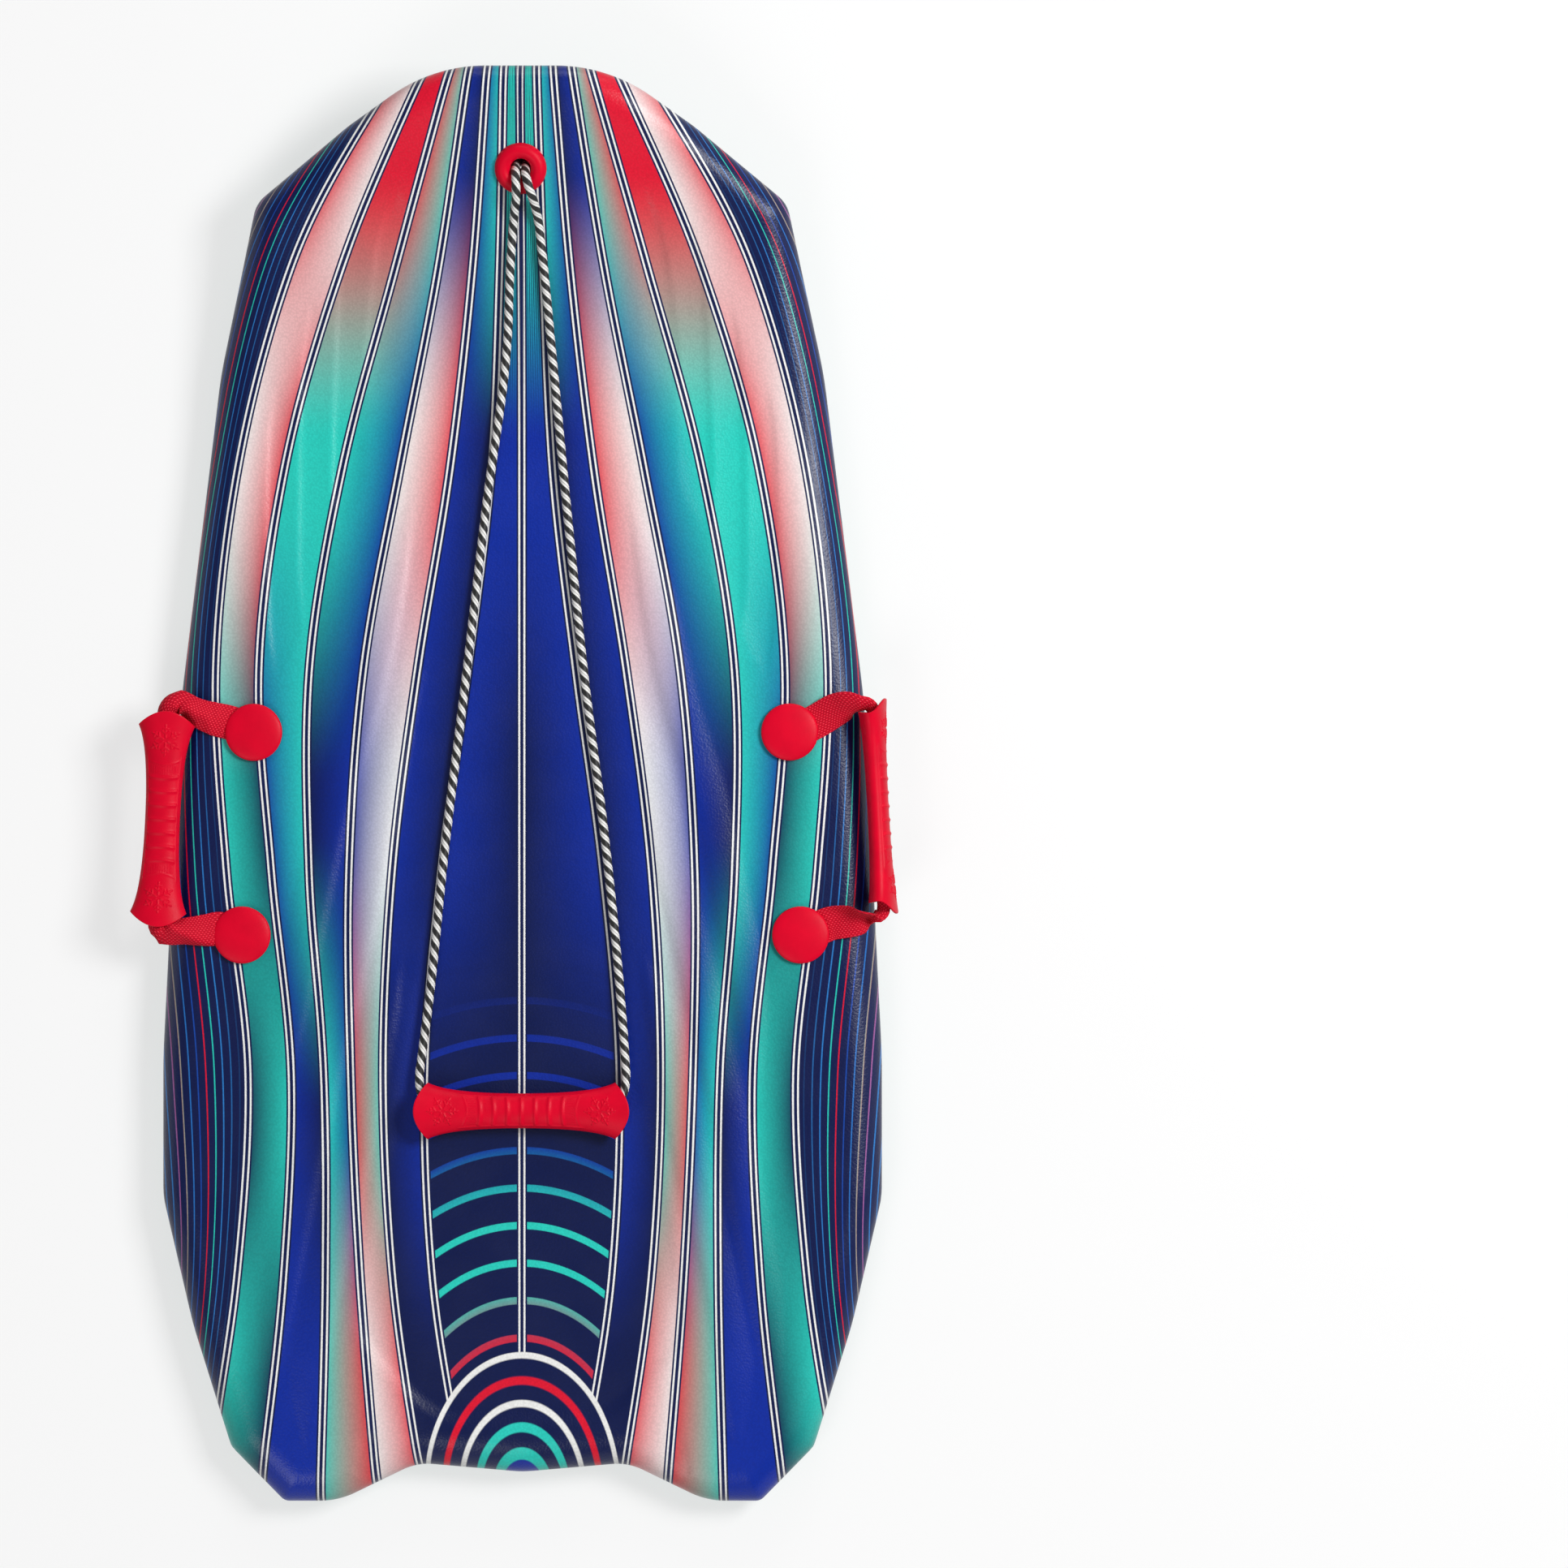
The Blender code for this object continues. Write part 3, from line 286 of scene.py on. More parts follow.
# Then x, y and z over the deck to the grip's mouth and into its bore
LEFT_ROPE_RUN = (
    (-0.0085, 0.4500, 0.0700),
    (-0.0124, 0.3716, 0.0583),
    (-0.0297, 0.2405, 0.0516),
    (-0.0469, 0.0956, 0.0513),
    (-0.0656, -0.0562, 0.0513),
    (-0.0790, -0.1850, 0.0527),
    (-0.0848, -0.2300, 0.0532),
    (-0.0868, -0.2480, 0.0540),
    (-0.0853, -0.2600, 0.0568),
    (-0.0800, -0.2690, 0.0580),
    (-0.0700, -0.2745, 0.0581),
    (-0.0560, -0.2757, 0.0580),
    (-0.0300, -0.2757, 0.0574),
    (0.0, -0.2757, 0.0573),
)
RIGHT_ROPE_RUN = (
    (0.0300, -0.2757, 0.0574),
    (0.0560, -0.2757, 0.0580),
    (0.0710, -0.2745, 0.0581),
    (0.0810, -0.2690, 0.0580),
    (0.0868, -0.2600, 0.0568),
    (0.0886, -0.2480, 0.0540),
    (0.0878, -0.2300, 0.0532),
    (0.0845, -0.1850, 0.0527),
    (0.0704, -0.0424, 0.0513),
    (0.0545, 0.0818, 0.0513),
    (0.0393, 0.2267, 0.0516),
    (0.0255, 0.3716, 0.0583),
    (0.0180, 0.4500, 0.0700),
)
ROPE_STEP = 0.0015
ROPE_SIDES = 32
ROPE_LOBES = 8
LOBE_DEPTH = 0.0005
LOBE_RISE = 0.0001
KNOT_TIGHTNESS = 0.92
# The two ends under the tow plug, each tied over the other: x, back and up from the dish's floor
KNOT_RUNS = (
    (
        (-0.0042, 0.0, 0.006),
        (-0.0044, -0.0005, 0.000),
        (-0.0058, -0.0028, -0.0042),
        (-0.0020, -0.0068, -0.0072),
        (0.0052, -0.0068, -0.0080),
        (0.0088, -0.0012, -0.0062),
        (0.0052, 0.0034, -0.0048),
        (-0.0015, 0.0040, -0.0072),
        (-0.0056, 0.0082, -0.0082),
        (-0.0074, 0.0150, -0.0066),
    ),
    (
        (0.0042, 0.0, 0.006),
        (0.0044, 0.0005, 0.000),
        (0.0050, -0.0016, -0.0040),
        (0.0004, -0.0034, -0.0044),
        (-0.0062, -0.0020, -0.0090),
        (-0.0074, 0.0030, -0.0132),
        (-0.0022, 0.0052, -0.0140),
        (0.0046, 0.0060, -0.0112),
        (0.0084, 0.0096, -0.0080),
        (0.0094, 0.0158, -0.0066),
    ),
)

# Grips
GRIP_AXIS_RISE = 0.007
GRIP_WALL = 0.0022
GRIP_END_DROP = 0.0116
GRIP_BACK_SHARE = 0.12
GRIP_FLARE_POWER = 2.4
GRIP_FACE_COLUMNS = 124
GRIP_BACK_COLUMNS = 52
GRIP_LIP_STEPS = 5
OFF_THE_FACE = 1.0
GRIP_BORE_ROWS = 24
GRIP_LIP_BULGE = 0.00066
RIB_COUNT = 7
RIB_HALF_WIDTH = 0.0015
RIB_BOW = 0.0008
FACE_EDGE_SHARES = (0.74, 0.80)
FACE_FADE_SHARES = (0.05, 0.35)
RAIL_SHARE = 0.82
RAIL_END = (0.050, 0.056)
RAIL_HEIGHT = 0.0004
LINE_HALF_WIDTH = 0.0006
END_ARC_Y = 0.0462
END_ARC_BOW = 0.006
END_ARC_HEIGHT = 0.00032
# Rows along the grip's outside: finer over the stars than over the ribs, and then few up to the mouth
RIBBED_END, STARRED_END = 0.052, 0.081
RIBBED_STEP, STARRED_STEP = 0.0007, 0.00046
MOUTH_ROWS = 12
STAR_Y = 0.0667
STAR_RADIUS = 0.0130
STAR_HEIGHT = 0.00055
STAR_FIELD_RADIUS = 0.0169
STAR_BAR_HALF_WIDTH = 0.00052
STAR_BAR_EDGE_SHARES = (0.6, 1.4)
# Bars of each of its arms, from place to place: out along the arm, and across it
STAR_BARS = (
    ((0.0022, 0.0), (STAR_RADIUS, 0.0)),
    ((0.0056, 0.0), (0.0080, -0.0030)),
    ((0.0056, 0.0), (0.0080, 0.0030)),
    ((0.0100, -0.0021), (0.0100, 0.0021)),
)
LEFT_GRIP_ENDS = ((-0.3007, 0.0630), (-0.3092, -0.1190))
RIGHT_GRIP_ENDS = ((0.2977, 0.0735), (0.3077, -0.1087))
RIGHT_GRIP_ROLL = math.radians(80)
TOW_GRIP_Y = -0.2757
TOW_GRIP_RISE = 0.0025
TOW_GRIP_SINK = 0.0012

# Straps from cap to mouth: share of the way across, share of the way along, share of the reach past
# the mouth, share of the rise, share of the width that the bent band spans, share of a right angle
# of twist, and the place of its fold across the band, from 1 at the inner edge to -1 at the outer, or
# past an edge where it has none
STRAP_START = (
    (-0.18, 0.0, 0.0, 0.0, 0.995, 0.0, 1.3),
    (0.0, 0.0, 0.0, 0.0, 0.995, 0.0, 1.3),
)
LEFT_FRONT_STRAP = (
    *STRAP_START,
    (0.14, 0.25, 0.0, 0.0, 0.995, 0.0, 1.3),
    (0.27, 0.50, 0.0, 0.05, 0.99, 0.0, 1.3),
    (0.42, 0.66, 0.0, 0.30, 0.97, 0.02, 1.3),
    (0.55, 0.82, 0.0, 0.75, 0.90, 0.05, 0.05),
    (0.68, 1.0, 0.12, 1.15, 0.78, 0.08, 0.1),
    (0.80, 1.0, 0.62, 1.35, 0.68, 0.10, 0.1),
    (0.90, 1.0, 0.72, 1.30, 0.62, 0.10, 1.3),
    (0.97, 1.0, 0.35, 1.15, 0.60, 0.06, 1.3),
    (1.0, 1.0, -0.35, 1.03, 0.58, 0.02, 1.3),
    (1.0, 1.0, -1.20, 1.0, 0.53, 0.0, 1.3),
    (1.0, 1.0, -3.50, 1.0, 0.08, 0.0, 1.3),
)
LEFT_REAR_STRAP = (
    *STRAP_START,
    (0.15, 0.60, 0.0, 0.0, 0.995, 0.0, 1.2),
    (0.29, 1.05, 0.0, 0.05, 0.985, 0.0, 1.0),
    (0.42, 1.0, 0.16, 0.35, 0.93, 0.02, 0.80),
    (0.55, 1.0, 0.32, 0.80, 0.84, 0.04, 0.45),
    (0.70, 1.0, 0.41, 1.20, 0.76, 0.08, 0.0),
    (0.83, 1.0, 0.48, 1.35, 0.70, 0.10, -0.45),
    (0.93, 1.0, 0.45, 1.25, 0.63, 0.08, -0.9),
    (0.985, 1.0, 0.15, 1.02, 0.58, 0.05, -1.3),
    (1.0, 1.0, -0.45, 0.96, 0.55, 0.0, -1.3),
    (1.0, 1.0, -1.30, 0.98, 0.50, 0.0, -1.3),
    (1.0, 1.0, -3.50, 1.0, 0.08, 0.0, -1.3),
)
RIGHT_FRONT_STRAP = (
    *STRAP_START,
    (0.20, 0.16, 0.0, 0.0, 0.995, 0.0, 1.3),
    (0.36, 0.38, 0.0, 0.15, 0.99, 0.02, 1.3),
    (0.57, 0.70, 0.0, 0.90, 0.97, 0.14, 1.3),
    (0.73, 0.82, 0.0, 1.50, 0.90, 0.42, 1.3),
    (0.86, 0.82, 0.0, 1.50, 0.78, 0.78, 1.3),
    (0.943, 0.83, 0.0, 1.24, 0.66, 0.96, 1.3),
    (0.988, 0.90, -0.90, 1.06, 0.57, 1.0, 1.3),
    (1.004, 0.96, -1.67, 1.02, 0.54, 1.0, 1.3),
    (1.006, 1.0, -2.90, 1.0, 0.48, 1.0, 1.3),
    (1.0, 1.0, -6.50, 1.0, 0.08, 1.0, 1.3),
)
RIGHT_REAR_STRAP = (
    *STRAP_START,
    (0.20, 0.30, 0.0, 0.0, 0.995, 0.0, 1.0),
    (0.37, 0.60, 0.0, 0.15, 0.985, 0.02, 0.75),
    (0.52, 0.68, 0.0, 0.70, 0.96, 0.08, 0.45),
    (0.68, 0.73, 0.0, 1.30, 0.92, 0.28, 0.1),
    (0.80, 0.80, 0.0, 1.58, 0.82, 0.62, -0.4),
    (0.89, 0.86, 0.0, 1.34, 0.72, 0.88, -0.9),
    (0.95, 0.90, 0.0, 1.17, 0.62, 0.98, -1.3),
    (0.99, 0.93, -0.60, 1.05, 0.56, 1.0, -1.3),
    (1.004, 0.97, -1.40, 1.02, 0.53, 1.0, -1.3),
    (1.006, 1.0, -2.90, 1.0, 0.48, 1.0, -1.3),
    (1.0, 1.0, -6.50, 1.0, 0.08, 1.0, -1.3),
)
STRAP_FOLD_SHARE = 0.16
EVEN_BEND = 0.08
FIRST_BEND, BEND_STEP, LAST_BEND = 0.02, 0.03, 6.1
BAND_POINTS = 121
LEFT_STRAP_REACH = 0.010
RIGHT_STRAP_REACH = 0.0045
STRAP_STEP = 0.0024
STRAP_COLUMNS = 60

# Stage
LENS = 200
SENSOR = 36
PHOTO_WIDTH = 1.3331
VIEW_X, VIEW_Y = 0.2229, 0.0017
CAMERA_CLIP = 100
WHITE = (1, 1, 1, 1)
FLOOR_GLOW = 0.62
# Lamps by name: place, side, and the setting that holds its power
LAMPS = {
    "key_lamp": ((2.3, 0.9, 2.9), 1.3, "key_power"),
    "fill_lamp": ((-1.4, -2.7, 3.2), 2.0, "fill_power"),
    "rim_lamp": ((0.6, 4.2, 2.0), 1.8, "rim_power"),
}


def linear(colour):
    """Linear red, green, blue and alpha of an sRGB hex colour."""
    values = [int(colour[k : k + 2], 16) / 255 for k in (1, 3, 5)]
    return (*[v / 12.92 if v <= 0.04045 else ((v + 0.055) / 1.055) ** 2.4 for v in values], 1.0)


def size(name, default, description):
    unit = {"unit": "LENGTH", "precision": 4}
    return FloatProperty(name=name, default=default, description=description, min=0, **unit)


def power(name, default, description):
    return FloatProperty(name=name, default=default, description=description, min=0, unit="POWER")


def colour(name, default, description):
    return FloatVectorProperty(
        name=name, default=linear(default), description=description, subtype="COLOR", size=4, min=0, max=1
    )


class SledBoardSettings(bpy.types.PropertyGroup):
    length: size("Length", 1.219, "Board from nose to tail")
    width: size("Width", 0.6128, "Board at its widest line")
    thickness: size("Thickness", 0.045, "Foam with both skins")
    nose_rise: size("Nose rise", 0.060, "How far the nose curls up")
    nose_rise_length: size("Nose rise length", 0.350, "Length over which the nose curls up")
    deck_rail: size("Deck rail", 0.030, "Width of the rounded edge above the seam")
    base_rail: size("Base rail", 0.028, "Width of the rounded edge below the seam")
    dish_depth: size("Dish depth", 0.0042, "Depth of the seat's dish at the tail")
    swell_height: size("Swell height", 0.0026, "Height of the long swells on the deck")
    flute_depth: size("Flute depth", 0.0018, "Depth of the creases in the nose")
    ridge_height: size("Ridge height", 0.002, "Height of the ridges that the sled slides on")
    groove_depth: size("Groove depth", 0.0021, "Depth of the grooves outside the ridges")
    grain: size("Grain", 0.0018, "Size of the embossed pebbles in the deck's skin")
    navy: colour("Navy", "#00124A", "Ground of the print")
    royal: colour("Royal blue", "#002AA0", "Ribbons and middle of the print")
    turquoise: colour("Turquoise", "#27D2C2", "Ribbons of the print")
    red: colour("Red", "#E60A30", "Ribbons of the print")
    white: colour("White", "#F6F6F4", "Ribbons and pinstripes of the print")
    slick: colour("Slick", "#1FC9B9", "Underside's plastic sheet")


class SledPlugSettings(bpy.types.PropertyGroup):
    cap_radius: size("Deck cap radius", 0.0243, "Cap over each strap end")
    cap_crown: size("Deck cap crown", 0.0052, "Height of the deck cap's dome")
    base_radius: size("Base cap radius", 0.02485, "Cap under each strap end")
    base_crown: size("Base cap crown", 0.0036, "Height of the base cap's dome")
    flange_radius: size("Tow plug radius", 0.0220, "Round flange at the nose")
    tow_base_radius: size("Tow base radius", 0.0295, "Dished cap under the nose")
    plastic: colour("Plastic", "#DE0029", "Moulded caps, plugs and grips")


class SledHandleSettings(bpy.types.PropertyGroup):
    grip_length: size("Grip length", 0.182, "Grip from mouth to mouth")
    mouth_width: size("Mouth width", 0.048, "Grip's width at its flared mouths")
    mouth_thickness: size("Mouth thickness", 0.024, "Grip's thickness at its mouths")
    waist_width: size("Waist width", 0.0297, "Grip's width at its middle")
    waist_thickness: size("Waist thickness", 0.018, "Grip's thickness at its middle")
    rib_pitch: size("Rib pitch", 0.0116, "Spacing of the finger ribs")
    rib_height: size("Rib height", 0.0009, "Height of the finger ribs")
    strap_width: size("Strap width", 0.0295, "Webbing's width")
    strap_thickness: size("Strap thickness", 0.0018, "Webbing's thickness")
    webbing: colour("Webbing", "#EC0A30", "Ground of the woven strap")
    # Colour of the painted highlight on the threads' crests
    thread_highlight: colour("Thread", "#FF6A7A", "Light on the raised threads")


class SledRopeSettings(bpy.types.PropertyGroup):
    diameter: size("Diameter", 0.0075, "Tow rope's thickness")
    lay: size("Lay", 0.0232, "Length over which a strand goes once round")
    dark: colour("Dark strands", "#141414", "Black yarn")
    light: colour("Light strands", "#F2F1EE", "White yarn")


class SledStageSettings(bpy.types.PropertyGroup):
    key_power: power("Key power", 106, "Large soft lamp to the right of the sled")
    fill_power: power("Fill power", 40, "Soft lamp behind the tail")
    rim_power: power("Rim power", 30, "Soft lamp beyond the nose")
    sky: FloatProperty(name="Sky", default=0.25, description="Even light from all round", min=0)
    floor_size: size("Floor", 14.0, "Side of the square floor")


# Materials
def connect(node, inputs):
    """Sets sockets of a node, and links those that are given another node's output."""
    for socket, value in inputs.items():
        if isinstance(value, bpy.types.NodeSocket):
            node.id_data.links.new(value, node.inputs[socket])
        else:
            node.inputs[socket].default_value = value


def add_node(tree, kind, inputs=(), output=0, stops=(), **settings):
    """Adds a node with its settings, colour stops and inputs, in order or by name. Returns an output."""
    node = tree.nodes.new(f"ShaderNode{kind}")
    for field, value in settings.items():
        setattr(node, field, value)
    if stops:
        ramp = node.color_ramp.elements
        ramp.remove(ramp[1])
        ramp[0].position, ramp[0].color = stops[0]
        for place, value in stops[1:]:
            ramp.new(place).color = value
    connect(node, inputs if isinstance(inputs, dict) else dict(enumerate(inputs)))
    return node.outputs[output]


def new_material(name):
    """A material, its Principled shader, and the function that adds nodes to it."""
    material = bpy.data.materials.new(name)
    material.use_nodes = True
    tree = material.node_tree
    return material, tree.nodes["Principled BSDF"], functools.partial(add_node, tree)


def mask(add, *steps):
    """Where a mark shows: a product of soft steps, each from where it is 0 to where it is 1."""
    share = 1.0
    for value, none, full in steps:
        step = add("MapRange", [value, none, full], interpolation_type="SMOOTHSTEP")
        share = add("Math", [share, step], operation="MULTIPLY")
    return share


def airbrushed_ribbons(add, inks, flow, along):
    """Colours across the ribbons, which fade from one set of inks to the next along the board."""
    ground = None
    for begin, full, pairs in RIBBON_INKS:
        stops = []
        for k, pair in enumerate(pairs.split()):
            edges = ((k + share) / len(RIBBON_EDGES) for share in RIBBON_BLEND_SHARES)
            stops += [(edge, inks[letter]) for edge, letter in zip(edges, pair)]
        band = add("ValToRGB", [flow], stops=stops)
        if ground is not None:
            colours = {0: mask(add, (along, begin, full)), FIRST: ground, SECOND: band}
            band = add("Mix", colours, MIXED, data_type="RGBA")
        ground = band
    return ground


def pinstripes(add, inks, flow):
    """A navy margin on both sides of each ribbon's edge, with a white line in it."""
    edges = add("UVMap", uv_map="ribbon_edges")
    layers = []
    for odd in (0, 1):
        away = add("Math", [add("SeparateXYZ", [edges], odd)], operation="ABSOLUTE")
        ribbon = add("Math", [flow, len(RIBBON_EDGES), odd], operation="MULTIPLY_ADD")
        near = (add("Math", [ribbon, 1.0], operation="PINGPONG"), 0.46, 0.44)
        line = ((away, *PINSTRIPE_INSIDE), (away, *PINSTRIPE_OUTSIDE))
        layers += [
            (mask(add, near, (away, *PINSTRIPE_MARGIN)), inks["n"]),
            (mask(add, near, *line), inks["w"]),
        ]
    return layers


def fine_stripes(add, inks, flow, along):
    """Coloured hairlines along the outer ribbon, and navy ones in the middle of the nose."""
    sky_blue = linear("#2C86D8")
    hues = {**inks, "s": sky_blue}
    stops = [(place, hues[letter]) for place, letter in HAIRLINE_STOPS]
    outer = add("Math", [flow, HAIRLINE_PITCH / 2], operation="PINGPONG")
    outer = (outer, 0.11 * HAIRLINE_PITCH, 0.05 * HAIRLINE_PITCH)
    outer = mask(add, outer, (flow, 0.86, 0.90))
    outer = add("Math", [outer, HAIRLINE_INK], operation="MULTIPLY")
    inner = add("Math", [flow, NOSE_LINE_PITCH / 2], operation="PINGPONG")
    inner = (inner, 0.20 * NOSE_LINE_PITCH, 0.12 * NOSE_LINE_PITCH)
    inner = mask(add, inner, (flow, 0.125, 0.10), (along, 0.72, 0.86))
    return [(outer, add("ValToRGB", [flow], stops=stops)), (inner, inks["n"])]


def nested_rings(add, inks, flow, place):
    """Arcs in the middle ribbon and closed rings at the tail, all round one place behind the tail.

    They come as two layers, because the pinstripes lie between them.
    """
    centred = {0: place, 1: (0.0, -RINGS_Y * RINGS_SQUASH, 0.0), 3: (1.0, RINGS_SQUASH, 0.0)}
    reach = add("VectorMath", [add("Mapping", centred)], 1, operation="LENGTH")
    reach = add("Math", [reach, RINGS_RADIUS], operation="DIVIDE")
    far = add("Math", [reach, ARCS_REACH_SHARE], operation="DIVIDE")
    hues = {**inks, "m": linear("#8C4A6A")}
    arcs = add("ValToRGB", [far], stops=[(at, hues[letter]) for at, letter in ARC_STOPS])
    arc = add("Math", [reach, ARC_PITCH_SHARE / 2], operation="PINGPONG")
    arc = (arc, 0.11 * ARC_PITCH_SHARE, 0.08 * ARC_PITCH_SHARE)
    edge = 1 / len(RIBBON_EDGES)
    shown = mask(add, arc, (flow, edge, edge - 0.0001), (reach, 3.9, 3.2))
    stops = [(at, inks[letter]) for start, end, letter in RING_BANDS for at in (start, end)]
    rings = add("ValToRGB", [reach], stops=stops)
    return (shown, arcs), (mask(add, (reach, 0.985, 0.975)), rings)


def printed_foam(board):
    """Printed polyethylene foam skin, embossed hot with pebbles: matt, with soft broad highlights.

    The print is of mirrored ribbons that flow from nose to tail, airbrushed from colour to colour,
    with pinstripes along them. The real pebbles are about 1 mm wide, and are drawn coarser to show. Their
    tops carry a painted highlight and the dips between them painted shade.
    """
    material, shader, add = new_material("printed_foam_skin")
    inks = dict(zip("nrtdw", (board.navy, board.royal, board.turquoise, board.red, board.white)))
    uv = add("UVMap", uv_map="print")
    flow, along = add("SeparateXYZ", [uv], 0), add("SeparateXYZ", [uv], 1)
    place = add("TexCoord", output="Object")
    arcs, rings = nested_rings(add, inks, flow, place)
    ground = airbrushed_ribbons(add, inks, flow, along)
    layers = [arcs, *pinstripes(add, inks, flow), *fine_stripes(add, inks, flow, along), rings]
    for share, ink in layers:
        ground = add("Mix", {0: share, FIRST: ground, SECOND: ink}, MIXED, data_type="RGBA")
    grain = {"Vector": place, "Scale": 1 / board.grain, "Smoothness": 0.6}
    pebbles = add("TexVoronoi", grain, feature="SMOOTH_F1")
    # Painted light on the pebbles: their tops lighter and the dips between them darker, where light and
    # shade would fall
    pebble_painted_light = add("MapRange", [pebbles, 0.1, 0.7, 1.04, 0.90])
    toned = {0: 1.0, FIRST: ground, SECOND: pebble_painted_light}
    drift = add("TexNoise", {"Vector": place, "Scale": 1 / PRINT_DRIFT, "Detail": 3.0})
    relief = {"Strength": 0.45, "Distance": 0.0003, "Height": pebbles}
    look = {
        "Base Color": add("Mix", toned, MIXED, data_type="RGBA", blend_type="MULTIPLY"),
        "Roughness": add("MapRange", [drift, 0.3, 0.7, 0.30, 0.37]),
        "IOR": 1.46,
        "Specular IOR Level": 0.4,
        "Normal": add("Bump", relief, invert=True),
    }
    connect(shader, look)
    return material


def slick_sheet(board):
    """Polyethylene slick, rolled and laminated hot: smooth and waxy, with a faint mottle in the gloss.

    The mottle is as wide as a hand. The ripple is about 1 mm on the real sheet, and is drawn coarser
    to show.
    """
    material, shader, add = new_material("slick_sheet")
    place = add("TexCoord", output="Object")
    marks = {"Vector": place, "Scale": 1 / SLICK_MOTTLE, "Detail": 5.0, "Roughness": 0.6}
    mottle = add("TexNoise", marks)
    ripple = add("TexNoise", {"Vector": place, "Scale": 1 / SLICK_RIPPLE, "Detail": 2.0})
    toned = {0: 1.0, FIRST: board.slick, SECOND: add("MapRange", [mottle, 0.3, 0.7, 0.9, 1.08])}
    look = {
        "Base Color": add("Mix", toned, MIXED, data_type="RGBA", blend_type="MULTIPLY"),
        "Roughness": add("MapRange", [mottle, 0.3, 0.7, 0.24, 0.34]),
        "IOR": 1.5,
        "Coat Weight": 0.15,
        "Normal": add("Bump", {"Strength": 0.12, "Distance": 0.0002, "Height": ripple}),
    }
    connect(shader, look)
    return material


def moulded_plastic(plugs):
    """Polyethylene injected into a spark-eroded mould: satin, with a very fine frost.

    The real frost is under 0.1 mm, and is drawn coarser to show.
    """
    material, shader, add = new_material("moulded_plastic")
    place = add("TexCoord", output="Object")
    frost = add("TexNoise", {"Vector": place, "Scale": 1 / MOULD_FROST, "Detail": 2.0})
    drift = add("TexNoise", {"Vector": place, "Scale": 1 / MOULD_DRIFT, "Detail": 2.0})
    toned = {0: 1.0, FIRST: plugs.plastic, SECOND: add("MapRange", [drift, 0.3, 0.7, 0.94, 1.05])}
    look = {
        "Base Color": add("Mix", toned, MIXED, data_type="RGBA", blend_type="MULTIPLY"),
        "Roughness": add("MapRange", [frost, 0.3, 0.7, 0.34, 0.46]),
        "IOR": 1.5,
        "Specular IOR Level": 0.12,
        "Normal": add("Bump", {"Strength": 0.3, "Distance": 0.0003, "Height": frost}),
    }
    connect(shader, look)
    return material


def grip_plastic(plugs):
    """The same moulded polyethylene, with flutes cut in its mould between the ribs and the ends."""
    material = moulded_plastic(plugs)
    material.name = "grip_plastic"
    tree = material.node_tree
    shader, add = tree.nodes["Principled BSDF"], functools.partial(add_node, tree)
    uv = add("UVMap", uv_map="grip")
    across, along = add("SeparateXYZ", [uv], 0), add("SeparateXYZ", [uv], 1)
    flutes = add("Math", [across, GRIP_FLUTE / 2], operation="PINGPONG")
    flutes = add("Math", [flutes, GRIP_FLUTE], operation="DIVIDE")
    side = add("Math", [across], operation="ABSOLUTE")
    field = mask(add, (along, *FLUTES_BEGIN), (along, *FLUTES_END), (side, *FLUTES_SIDE))
    relief = {
        "Strength": 0.8,
        "Distance": 0.0004,
        "Height": add("Math", [field, flutes], operation="MULTIPLY"),
        "Normal": shader.inputs["Normal"].links[0].from_socket,
    }
    connect(shader, {"Normal": add("Bump", relief)})
    return material


def woven_webbing(handles, length):
    """Woven polyester webbing: rows of raised threads, with painted shade between them, a painted highlight
    on each crest, and a soft sheen.
    """
    material, shader, add = new_material("woven_webbing")
    girth = 2 * (handles.strap_width + handles.strap_thickness)
    uv = add("UVMap", uv_map="UVMap")
    around, along = add("SeparateXYZ", [uv], 0), add("SeparateXYZ", [uv], 1)
    lane = add("Math", [around, girth / THREAD_WIDTH], operation="MULTIPLY")
    stagger = add("Math", [add("Math", [lane], operation="FLOOR"), 0.5], operation="MULTIPLY")
    row = add("Math", [along, length / THREAD_LENGTH, stagger], operation="MULTIPLY_ADD")
    across = add("Math", [lane, 0.5], operation="PINGPONG")
    over = add("Math", [row, 0.5], operation="PINGPONG")
    crest = mask(add, (across, 0.0, 0.5), (over, 0.0, 0.5))
    # Painted highlight on each thread's crest
    painted_highlight = add("Math", [mask(add, (crest, 0.74, 0.94)), THREAD_PAINTED_HIGHLIGHT], operation="MULTIPLY")
    # Painted shade between the threads: the webbing's colour darkened where the threads dip
    dark = (*(THREAD_PAINTED_SHADE * value for value in handles.webbing[:3]), 1.0)
    ground = {0: mask(add, (crest, 0.0, 0.45)), FIRST: dark, SECOND: handles.webbing}
    ground = add("Mix", ground, MIXED, data_type="RGBA")
    threads = {0: painted_highlight, FIRST: ground, SECOND: handles.thread_highlight}
    look = {
        "Base Color": add("Mix", threads, MIXED, data_type="RGBA"),
        "Roughness": 0.62,
        "IOR": 1.5,
        "Specular IOR Level": 0.12,
        "Sheen Weight": 0.04,
        "Normal": add("Bump", {"Strength": 0.8, "Distance": 0.0005, "Height": crest}),
    }
    connect(shader, look)
    return material


